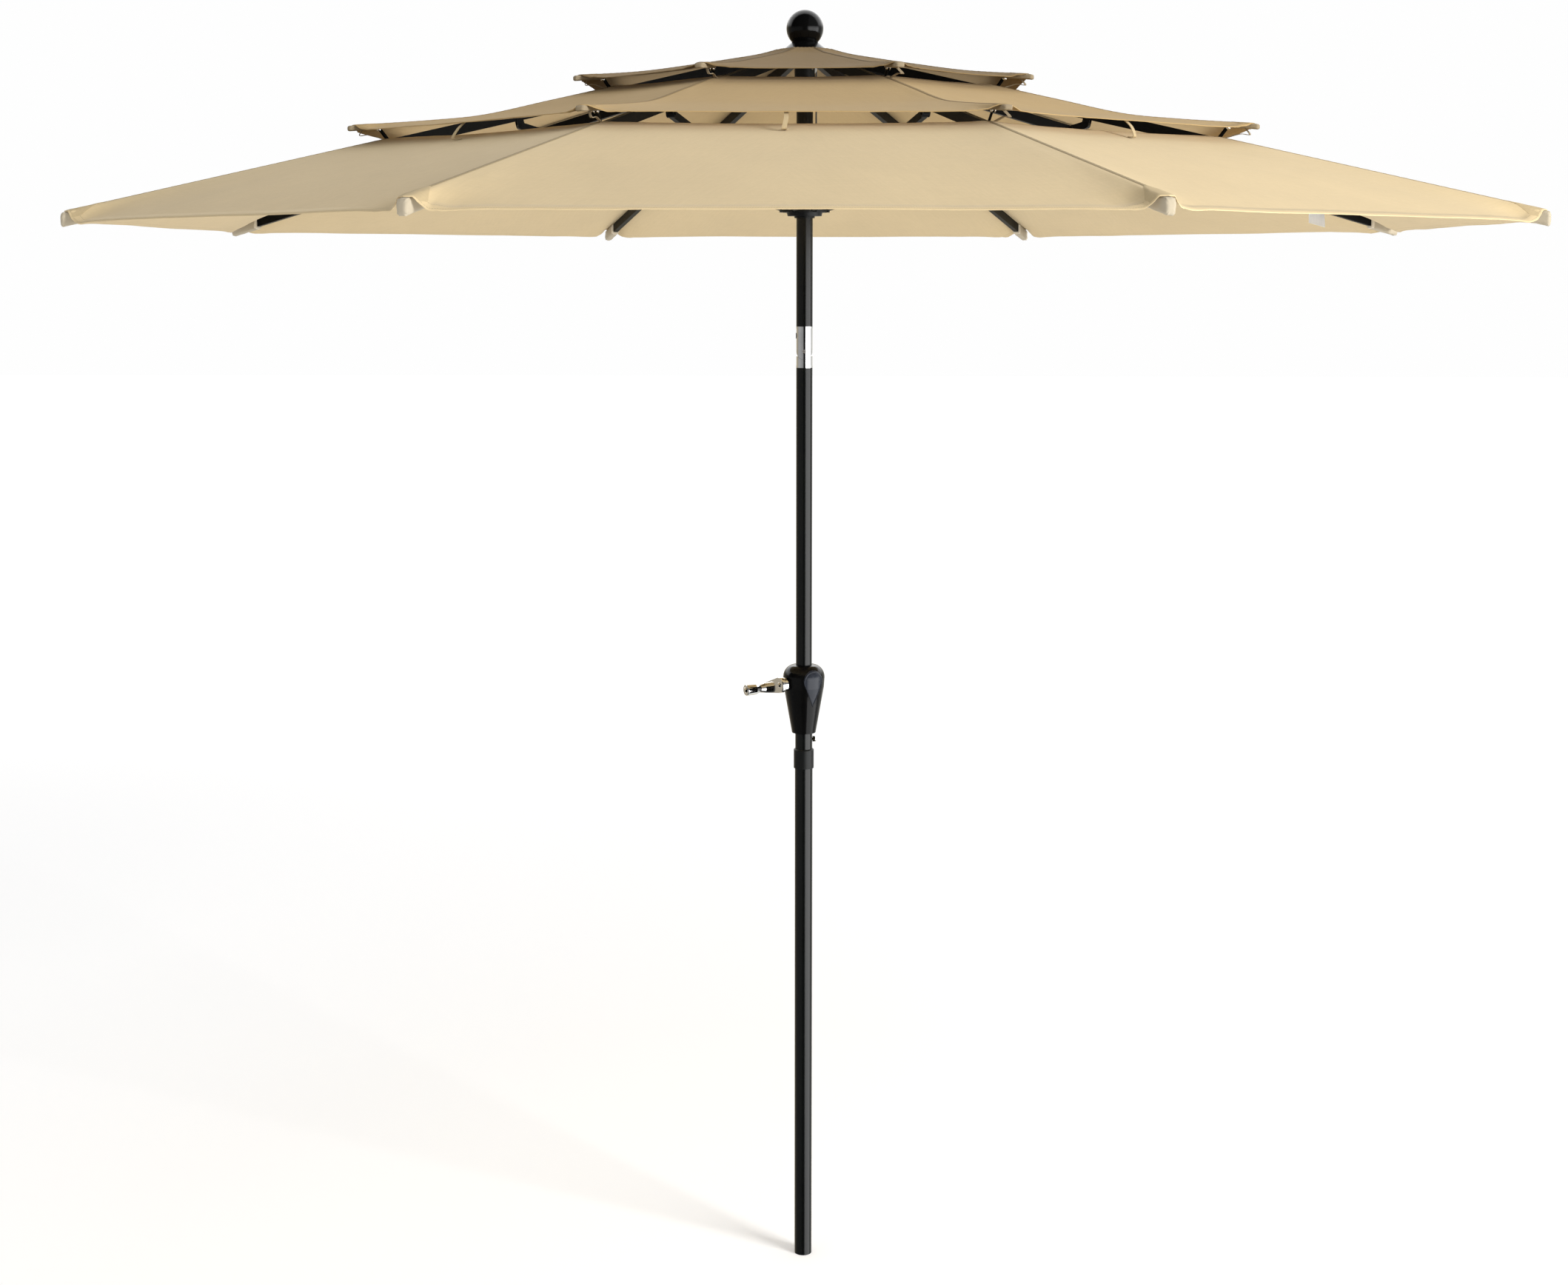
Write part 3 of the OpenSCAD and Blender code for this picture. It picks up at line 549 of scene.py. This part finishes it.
def inlay_outline(count):
    """Teardrop seen square on, as (distance across the housing, height): a round top over a point."""
    tip, centre = INLAY_Z
    radius = INLAY_W / 2
    lean = math.acos(radius / (centre - tip))
    arc = [-math.pi / 2 + lean + (2 * math.pi - 2 * lean) * k / count for k in range(count + 1)]
    points = [(radius * math.cos(a), centre + radius * math.sin(a)) for a in arc]
    sides = 10
    down = [(points[-1][0] * (1 - k / sides), points[-1][1] + (tip - points[-1][1]) * k / sides)
            for k in range(1, sides)]
    up = [(points[0][0] * k / sides, tip + (points[0][1] - tip) * k / sides) for k in range(sides)]
    return points + down + up


def inlay_rim():
    """Raised lip round the edge of the housing's inlay, laid on its curved face."""
    axis = next(j["axis"] for j in frame["joints"] if j["name"] == "crank_turn")
    outwards = Vector((-axis[1], axis[0], 0)).normalized()
    across = Vector((-outwards.y, outwards.x, 0))
    inlay = frame["nodes"]["housing_inlay"]
    tree = bvhtree.BVHTree.FromObject(inlay, bpy.context.evaluated_depsgraph_get())
    middle = (INLAY_Z[0] + INLAY_Z[1] + INLAY_W / 2) / 2
    # Share of the inlay's outline, and height above its face
    section = [(0.975, -0.0002), (0.975, 0.0008), (0.950, 0.0013), (0.925, 0.0011), (0.890, 0.0005),
               (0.875, -0.0002)]
    rings = []
    for x, z in inlay_outline(48):
        ring = []
        for share, lift in section:
            start = outwards * 0.2 + across * x * share + Vector((0, 0, middle + (z - middle) * share))
            hit = tree.ray_cast(start, -outwards)[0]
            ring.append(hit + outwards * lift)
        rings.append(ring)
    count, points = len(rings), len(section)
    faces = []
    for k in range(count):
        for c in range(points):
            a, b = (k + 1) % count * points, k * points
            d = (c + 1) % points
            faces.append((a + c, a + d, b + d, b + c))
    obj = new_object("inlay_rim", [p for ring in rings for p in ring], faces)
    finish_piece(obj, inlay_plastic, "root")


# ---------- canopy ----------

def finish_piece(obj, material, body):
    obj.data.materials.append(material)
    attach(obj, body)


def fold_with(obj):
    """Gives a piece of cloth a mesh of its own."""
    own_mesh(obj)


HEM_W = 0.018
HEM_T = 0.0017
HEM_STEP = 0.0008
HALF_COLUMNS = 28
COLUMN_GROWTH = 4.2


def rows_of(tier):
    """Row radii, with close rows at the two ends for the hem's fold."""
    r0, r1, n = tier["r_in"], tier["r_out"], tier["rows"]
    inner = [r0, r0 + HEM_W * 0.25, r0 + HEM_W * 0.6]
    body = [r0 + HEM_W + (r1 - r0 - 2 * HEM_W) * k / n for k in range(n)]
    return inner + body + [r1 - HEM_W - HEM_STEP, r1 - HEM_W, r1 - HEM_W * 0.5, r1 - 0.001, r1]


def crown_gather(p):
    """Height of the small pleats where the top tier meets the finial."""
    r = math.hypot(p.x, p.y)
    return 0.0004 * (1 + math.sin(40 * math.atan2(p.y, p.x))) * smooth((0.092 - r) / 0.04)


def gore(i, tier_name):
    tier = TIERS[tier_name]
    columns = [math.sinh(COLUMN_GROWTH * k / HALF_COLUMNS) / math.sinh(COLUMN_GROWTH)
               for k in range(-HALF_COLUMNS, HALF_COLUMNS + 1)]
    low, high, uv = [], [], []
    for r in rows_of(tier):
        edge = tier["r_out"] - r
        thick = CLOTH_T + (HEM_T - CLOTH_T) * smooth((HEM_W - edge) / HEM_STEP + 0.5)
        if edge < 0.0005:
            thick *= 0.5
        low.append([cloth_world(i, tier, r, a) for a in columns])
        if tier_name == "top":
            low[-1] = [p + Vector((0, 0, crown_gather(p))) for p in low[-1]]
        high.append([p + Vector((0, 0, thick)) for p in low[-1]])
        uv.append([(r * COS_H * SIN_H * a, edge) for a in columns])
    obj = solid_grid(f"{tier_name}_cloth_{i}", low, high, uv)
    finish_piece(obj, TIER_CLOTH_AND_SHADE[tier_name], f"rib_{i}")
    fold_with(obj)
    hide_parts(f"canopy_gore_{i}")


def rib_seam(i, tier_name):
    """Raised felled seam over the rib, with a groove along each stitch line."""
    tier = TIERS[tier_name]
    low, high, uv = [], [], []
    cols = [-1, -0.80, -0.66, -0.50, 0, 0.50, 0.66, 0.80, 1]
    groove = [0.0005, 0.0, 0.0003, 0.0, 0.0001, 0.0, 0.0003, 0.0, 0.0005]
    count = 90
    first = max(tier["r_in"] + 0.004, 0.060)
    for k in range(count + 1):
        r = first + (tier["r_out"] - first - 0.006) * k / count
        reach = r * COS_H * SIN_H
        pucker = 0.00014 * math.sin(k * 2.3)
        base = [cloth_world(i, tier, r, SEAM_R * c / reach, CLOTH_T) for c in cols]
        if tier_name == "top":
            base = [p + Vector((0, 0, crown_gather(p))) for p in base]
        low.append([p - Vector((0, 0, 0.0002)) for p in base])
        high.append([p + Vector((0, 0, 0.0008 - g + pucker)) for p, g in zip(base, groove)])
        uv.append([(SEAM_R * c, r) for c in cols])
    obj = solid_grid(f"{tier_name}_rib_seam_{i}", low, high, uv)
    finish_piece(obj, SEAM_CLOTH_SHADED[tier_name], f"rib_{i}")


# Length and half-width of each corner's patch
CORNER_PATCH = {"lower": (0.070, 0.024), "middle": (0.045, 0.016), "top": (0.040, 0.013)}


def corner_patch(i, tier_name):
    """Reinforcing patch over a corner: a triangle whose point runs up the rib."""
    length, half_w = CORNER_PATCH[tier_name]
    tier = TIERS[tier_name]
    outer = tier["r_out"] - 0.0015
    low, high, uv = [], [], []
    cols = [-1, -0.75, -0.5, -0.25, 0, 0.25, 0.5, 0.75, 1]
    count = 26
    for k in range(count + 1):
        q = k / count
        half = half_w * min(q / 0.82, 1.0) + 0.002
        r = (tier["r_out"] - length) * (1 - q) + outer * q
        row, top, uv_row = [], [], []
        for c in cols:
            inside = 0 < k < count and abs(c) < 1
            y = half * c
            p = cloth_world(i, tier, r, y / (r * COS_H * SIN_H), CLOTH_T)
            crease = 0.0004 * noise.noise(Vector((p.x * 90, p.y * 90, 2.0)))
            row.append(p + Vector((0, 0, 0.0002 if inside else -0.0001)))
            top.append(p + Vector((0, 0, 0.0012 + crease if inside else 0.0005)))
            uv_row.append((y, r))
        low.append(row)
        high.append(top)
        uv.append(uv_row)
    obj = solid_grid(f"{tier_name}_corner_patch_{i}", low, high, uv)
    finish_piece(obj, CORNER_CLOTH[tier_name], f"rib_{i}")
    fold_with(obj)


def squircle(angle):
    """Point of a rounded square of half-width one."""
    ca, sa = math.cos(angle), math.sin(angle)
    return math.copysign(abs(ca) ** 0.5, ca), math.copysign(abs(sa) ** 0.5, sa)


# Sewn pockets: the share of the size kept at the gathered end, and half of the width and of the height
POCKET_CLOSE = 0.35
TIP_POCKET_HALF = (0.0092, 0.0130)
TIP_CUFF_HALF = (0.0092, 0.0122)
VENT_POCKET_HALF = (0.0085, 0.0050)
TIP_POCKET_L = 0.062
CUFF_W = 0.007


def sock(name, i, r0, r1, centre_z, slope, half, material, seed):
    """Sewn pocket over the end of a rib or rod: a soft sleeve, gathered over its closed end."""
    rings = []
    count, steps = 40, 22
    for k in range(steps + 1):
        q = 1 - (1 - k / steps) ** 1.8
        r = r0 + (r1 - r0) * q
        z = centre_z - slope * (r - r0)
        shut = max(0.0, (q - 0.93) / 0.07)
        shrink = POCKET_CLOSE + (1 - POCKET_CLOSE) * math.sqrt(max(0.0, 1 - shut * shut))
        flare = 1 + 0.04 * math.exp(-q * 9)
        ring = []
        for c in range(count):
            angle = 2 * math.pi * c / count
            x, y = squircle(angle)
            fold = 1 + 0.05 * noise.noise(Vector((x * 1.6 + seed, y * 1.6, q * 6 + i)))
            fold += 0.05 * smooth((q - 0.8) / 0.2) * math.sin(angle * 9 + i)
            size = shrink * flare * fold
            ring.append(at_rib(i, Vector((r, half[0] * x * size, z + half[1] * y * size))))
        rings.append(ring)
    obj = lofted_tube(name, rings)
    finish_piece(obj, material, f"rib_{i}")


def cuff(name, i, r, centre_z, half):
    """Pale binding around a pocket's mouth."""
    rings = []
    count = 28
    for dr, grow in ((0, 0.96), (0, 1.06), (CUFF_W * 0.5, 1.09), (CUFF_W, 1.06), (CUFF_W, 0.96)):
        ring = []
        for c in range(count):
            angle = 2 * math.pi * c / count
            x, y = squircle(angle)
            size = grow * (1 + 0.02 * math.sin(5 * angle + i))
            p = Vector((r + dr, half[0] * x * size, centre_z - SLOPE * dr + half[1] * y * size))
            ring.append(at_rib(i, p))
        rings.append(ring)
    obj = lofted_tube(name, rings)
    finish_piece(obj, lining_cloth, f"rib_{i}")


def rib_centre(r):
    return rib_top(r) - RIB_H / 2 / math.cos(SLOPE_ANGLE)


def tip_pocket(i):
    """Pocket over a rib's end, and the cuff round its mouth."""
    r0 = TIP_R - TIP_POCKET_L
    cuff_r = r0 - 0.004
    drop = 0.0022
    sock(f"tip_pocket_{i}", i, r0, TIP_R + 0.007, rib_centre(r0) - drop, SLOPE, TIP_POCKET_HALF,
         pocket_cloth, 3)
    cuff(f"tip_cuff_{i}", i, cuff_r, rib_centre(cuff_r) - drop, TIP_CUFF_HALF)


STRAP_T = 0.0012
CORNER_TIE_W = 0.006
PANEL_TIE_W = 0.008
PANEL_TIE_SIDE = 0.965


def vent_pocket(i, tier_name):
    """Pocket over a vent rod's end, and the strap that ties the corner down to the rib."""
    tier = TIERS[tier_name]
    corner = tier["r_out"]
    r0 = corner - tier["pocket"]
    z0 = curve_at(tier["line"], r0) - 0.0045
    z1 = curve_at(tier["line"], corner) - 0.0045
    slope = (z0 - z1) / (corner - r0)
    sock(f"{tier_name}_pocket_{i}", i, r0, corner + 0.008, z0, slope, VENT_POCKET_HALF, patch_cloth, 7)
    foot_r = corner - 0.055
    bottom = rib_top(foot_r)
    swing = 0.012
    path = spline([
        (corner - 0.020, swing * 0.3, z1 - 0.002),
        (corner - 0.012, swing, z1 - 0.014),
        (corner - 0.030, swing * 0.9, bottom + 0.010),
        (foot_r, swing * 0.5, bottom + 0.0035),
    ])
    strip = strap(f"{tier_name}_corner_tie_{i}", [at_rib(i, p) for p in path], CORNER_TIE_W, STRAP_T,
                  at_rib(i, Vector((0.35, 1, 0))))
    finish_piece(strip, patch_cloth, f"rib_{i}")


def panel_tie(i):
    """Loop strap between the middle tier's hem and the lower tier, beside the mid-panel line."""
    tier, lower = TIERS["middle"], TIERS["lower"]
    top = cloth_world(i, tier, tier["r_out"] - 0.010, PANEL_TIE_SIDE)
    foot_r = tier["r_out"] - 0.012
    foot = cloth_world(i, lower, foot_r, PANEL_TIE_SIDE, CLOTH_T + 0.0012)
    out = at_rib(i, Vector((COS_H, SIN_H, 0)))
    middle = (top + foot) / 2 + out * 0.010
    toe = foot + out * 0.030 + at_rib(i, Vector((0, -0.006, 0)))
    toe.z = cloth_world(i, lower, foot_r + 0.036, PANEL_TIE_SIDE, CLOTH_T + 0.0022).z
    across = at_rib(i, Vector((-SIN_H, COS_H, 0)))
    low = toe * 0.55 + foot * 0.45 + Vector((0, 0, 0.004))
    path = spline([top, middle + Vector((0, 0, 0.002)), low, foot])
    obj = strap(f"middle_panel_tie_{i}", path, PANEL_TIE_W, STRAP_T, across)
    finish_piece(obj, CORNER_CLOTH["lower"], f"rib_{i}")
    fold_with(obj)


def crown():
    """Flat disc of cloth between the hub and the finial, under the inner edge of the top tier."""
    radii = [0.0095, 0.018, 0.028, 0.038, 0.046, 0.0500, 0.0510]
    count = 96
    low, high, uv = [], [], []
    for r in radii:
        row, uv_row = [], []
        for c in range(count + 1):
            angle = 2 * math.pi * c / count
            gather = 0.00015 * math.sin(40 * angle) * smooth((r - 0.03) / 0.02)
            row.append(Vector((r * math.cos(angle), r * math.sin(angle), HUB_TOP + 0.0004 + gather)))
            uv_row.append((r * angle, r))
        low.append(row)
        high.append([p + Vector((0, 0, CLOTH_T * 0.8)) for p in row])
        uv.append(uv_row)
    obj = solid_grid("crown_cloth", low, high, uv)
    weld = bmesh.new()
    weld.from_mesh(obj.data)
    bmesh.ops.remove_doubles(weld, verts=weld.verts, dist=1e-6)
    seen = {}
    for face in weld.faces:
        seen.setdefault(frozenset(v.index for v in face.verts), []).append(face)
    double = [f for pair in seen.values() if len(pair) > 1 for f in pair]
    bmesh.ops.delete(weld, geom=double, context="FACES")
    weld.to_mesh(obj.data)
    weld.free()
    finish_piece(obj, TIER_CLOTH_AND_SHADE["top"], "upper")
    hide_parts("canopy_crown")


LABEL_R = 1.240
LABEL_W = 0.040
LABEL_H = 0.048


def care_label(i):
    """Blank folded label sewn beside a rib, on the canopy's underside."""
    tier = TIERS["lower"]
    low, high, uv = [], [], []
    for k in range(9):
        q = k / 8
        row, back, uv_row = [], [], []
        for c in range(7):
            p = cloth_world(i, tier, LABEL_R + LABEL_W * c / 6, 0.035, -0.0012)
            bend = 0.004 * math.sin(q * 2.4 + c * 0.3)
            row.append(p + at_rib(i, Vector((0, bend, 0))) - Vector((0, 0, LABEL_H * q)))
            back.append(row[-1] + at_rib(i, Vector((0, 0.0006, 0))))
            uv_row.append((LABEL_W * c / 6, LABEL_H * q))
        low.append(row)
        high.append(back)
        uv.append(uv_row)
    obj = solid_grid("care_label", low, high, uv)
    finish_piece(obj, label_cloth, f"rib_{i}")


RIVET_R = 0.0038


def rivet(name, i, p, axis):
    """Domed rivet head."""
    rings = []
    axis = Vector(axis)
    side = axis.orthogonal().normalized()
    other = axis.cross(side)
    for height, grow in ((0, 1.0), (0.25, 1.0), (0.55, 0.86), (0.8, 0.6), (0.95, 0.3)):
        rings.append([at_rib(i, Vector(p) + axis * height * RIVET_R * 0.8
                             + (side * math.cos(t) + other * math.sin(t)) * RIVET_R * grow)
                      for t in (2 * math.pi * c / 20 for c in range(20))])
    obj = lofted_tube(name, rings)
    finish_piece(obj, chrome_metal, f"rib_{i}")


def vent_bracket(i, tier_name):
    """Small folded steel stay between the rib and the vent rod near each corner, with its rivets."""
    tier = TIERS[tier_name]
    r = tier["r_out"] - 0.070
    low_z = rib_top(r) - 0.004
    high_z = curve_at(tier["line"], r + 0.02) - 0.0055
    rings = []
    for q in (0, 0.08, 0.5, 0.92, 1.0):
        grow = 0.8 if q in (0, 1.0) else 1.0
        centre = Vector((r + 0.02 * q, 0, low_z + (high_z - low_z) * q))
        ring = []
        for c in range(12):
            t = 2 * math.pi * c / 12
            offset = Vector((math.cos(t) * 0.0045 * grow, math.sin(t) * 0.0018 * grow, 0))
            ring.append(at_rib(i, centre + offset))
        rings.append(ring)
    obj = lofted_tube(f"{tier_name}_vent_stay_{i}", rings)
    finish_piece(obj, rib_coat, f"rib_{i}")
    for side in (-1, 1):
        rivet(f"{tier_name}_vent_rivet_{i}_{'ab'[side > 0]}", i, (r + 0.019, side * 0.0022, high_z - 0.004),
              (0, side, 0))


CORD_R = 0.0015


def lift_cord():
    """Braided cord between the pulley and the runner, at the length of the frame's cord part."""
    low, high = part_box("lift_cord_run")
    x = (low[0] + high[0]) / 2
    y = (low[1] + high[1]) / 2
    rings = []
    steps, count = 48, 12
    for k in range(steps + 1):
        z = low[2] + (high[2] - low[2]) * k / steps
        ring = []
        for c in range(count):
            t = 2 * math.pi * c / count
            size = CORD_R * (1 + 0.08 * math.sin(k * 1.9 + 3 * t))
            ring.append(Vector((x + size * math.cos(t), y + size * math.sin(t), z)))
        rings.append(ring)
    obj = lofted_tube("lift_cord_outer", rings)
    obj.data.materials.append(lift_cord_cloth)
    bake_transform(obj)
    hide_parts("lift_cord_run")


def canopy():
    for i in range(1, RIBS + 1):
        for tier_name in TIERS:
            gore(i, tier_name)
            rib_seam(i, tier_name)
        for tier_name in TIERS:
            corner_patch(i, tier_name)
        tip_pocket(i)
        for tier_name in ("middle", "top"):
            vent_pocket(i, tier_name)
            vent_bracket(i, tier_name)
        panel_tie(i)
    crown()
    care_label(1)
    lift_cord()


# ---------- room, light and camera ----------

# The floor's glow near the pole and far out, and the distances where its growth starts and ends
FLOOR_GLOW = (0.20, 0.50)
FLOOR_GLOW_R = (1.5, 9.0)
# Strength of the studio as the camera sees it, as matt surfaces see it, and as polished ones do
WORLD_WHITE = 0.992
WORLD_SOFT = 0.625
GLOSS_STRENGTH = 5.5
# What polished pieces see of the studio, by direction: in front and behind from left (0) to right (1), and
# the share of the front that is lit from straight down (0) to straight up (1)
GLOSS_FRONT = [(0.0, 0.07), (0.34, 0.05), (0.44, 0.0), (0.56, 0.0), (0.66, 0.06), (0.71, 0.95), (1.0, 0.95)]
GLOSS_BEHIND = [(0.0, (0.060, 0.053, 0.040)), (0.3, (0.14, 0.125, 0.10)), (0.8, (0.14, 0.14, 0.13)),
                (1.0, (0.1, 0.1, 0.1))]
GLOSS_HEIGHT = [(0.0, 0.20), (0.18, 0.30), (0.36, 1.0), (0.51, 1.0), (0.60, 0.05), (1.0, 0.05)]
GLOSS_SKY = (0.5, 0.5, 0.5)


def floor():
    """Pale floor whose glow grows outwards, so that it runs into the white background."""
    bpy.ops.mesh.primitive_plane_add(size=80, location=(0, 0, 0))
    obj = bpy.context.object
    obj.name = "floor"
    n = Nodes("floor_paint")
    n.set(Base_Color=(0.90, 0.90, 0.90, 1), Roughness=0.9, Specular_IOR_Level=0.0,
          Emission_Color=(1, 1, 1, 1))
    away = n.add("ShaderNodeVectorMath", operation="LENGTH")
    n.link(n.coords(1.0), away.inputs[0])
    n.link(n.span(away.outputs["Value"], *FLOOR_GLOW, *FLOOR_GLOW_R), n.bsdf.inputs["Emission Strength"])
    obj.data.materials.append(n.mat)
    obj.visible_glossy = False


def studio_world():
    """White studio: soft light all round, and a pattern of soft boxes that only reflections see."""
    world = bpy.data.worlds.new("studio")
    world.use_nodes = True
    tree = world.node_tree
    tree.nodes.clear()
    add, link = tree.nodes.new, tree.links.new
    split = add("ShaderNodeSeparateXYZ")
    link(add("ShaderNodeTexCoord").outputs["Generated"], split.inputs[0])

    def background(strength):
        node = add("ShaderNodeBackground")
        node.inputs["Color"].default_value = (1, 1, 1, 1)
        node.inputs["Strength"].default_value = strength
        return node

    def span(axis, start, end):
        node = add("ShaderNodeMapRange")
        node.inputs["From Min"].default_value = start
        node.inputs["From Max"].default_value = end
        link(split.outputs[axis], node.inputs["Value"])
        return node.outputs["Result"]

    def ramp(axis, stops):
        node = add("ShaderNodeValToRGB")
        elements = node.color_ramp.elements
        while len(elements) < len(stops):
            elements.new(0.5)
        for element, (where, value) in zip(elements, stops):
            element.position = where
            element.color = (*value, 1) if isinstance(value, tuple) else (value, value, value, 1)
        link(span(axis, -1, 1), node.inputs["Fac"])
        return node.outputs["Color"]

    def mix_colour(blend, a, b, fac=None):
        node = add("ShaderNodeMix")
        node.data_type = "RGBA"
        node.blend_type = blend
        node.inputs[0].default_value = 1.0
        if fac:
            link(fac, node.inputs[0])
        link(a, node.inputs[6])
        if isinstance(b, tuple):
            node.inputs[7].default_value = (*b, 1)
        else:
            link(b, node.inputs[7])
        return node.outputs[2]

    def mix_shader(fac, a, b):
        node = add("ShaderNodeMixShader")
        link(fac, node.inputs["Fac"])
        link(a.outputs[0], node.inputs[1])
        link(b.outputs[0], node.inputs[2])
        return node

    front = mix_colour("MULTIPLY", ramp("X", GLOSS_FRONT), ramp("Z", GLOSS_HEIGHT))
    gloss = background(GLOSS_STRENGTH)
    behind = mix_colour("MIX", ramp("X", GLOSS_BEHIND), GLOSS_SKY, span("Z", 0.12, 0.30))
    link(mix_colour("MIX", front, behind, span("Y", 0.0, 0.2)), gloss.inputs["Color"])
    rays = add("ShaderNodeLightPath")
    unseen = mix_shader(rays.outputs["Is Glossy Ray"], background(WORLD_SOFT), gloss)
    seen = mix_shader(rays.outputs["Is Camera Ray"], unseen, background(WORLD_WHITE))
    link(seen.outputs[0], add("ShaderNodeOutputWorld").inputs["Surface"])
    bpy.context.scene.world = world


def area_light(name, place, target, size, power, colour=(1, 1, 1)):
    data = bpy.data.lights.new(name, "AREA")
    data.shape = "RECTANGLE"
    data.size, data.size_y = size
    data.energy = power
    data.color = colour
    obj = bpy.data.objects.new(name, data)
    bpy.context.scene.collection.objects.link(obj)
    obj.location = place
    obj.rotation_euler = (Vector(target) - Vector(place)).to_track_quat("-Z", "Y").to_euler()
    obj.visible_camera = False
    obj.visible_glossy = False


def lights():
    area_light("key", (5.95, -4.45, 3.95), (0, 0, 2.4), (2.6, 2.6), 655, (1.0, 0.99, 0.98))
    area_light("fill", (-5.5, -4.0, 3.4), (0, 0, 2.0), (3.5, 3.5), 15)


# Focal length and sensor width in millimetres, place in metres, pitch below level and turn in degrees
CAMERA_LENS = 49.46
SENSOR_W = 36.0
CAMERA_PLACE = (0.1004, -4.5203, 2.168)
CAMERA_PITCH = 9.83
CAMERA_TURN = 1.81


def camera():
    data = bpy.data.cameras.new("camera")
    data.lens = CAMERA_LENS
    data.sensor_width = SENSOR_W
    obj = bpy.data.objects.new("camera", data)
    bpy.context.scene.collection.objects.link(obj)
    obj.location = CAMERA_PLACE
    obj.rotation_euler = (math.radians(90 - CAMERA_PITCH), 0, math.radians(CAMERA_TURN))
    bpy.context.scene.camera = obj


dress_frame()
button_spring()
inlay_rim()
canopy()
floor()
studio_world()
lights()
camera()
bpy.context.scene.view_settings.view_transform = "Standard"
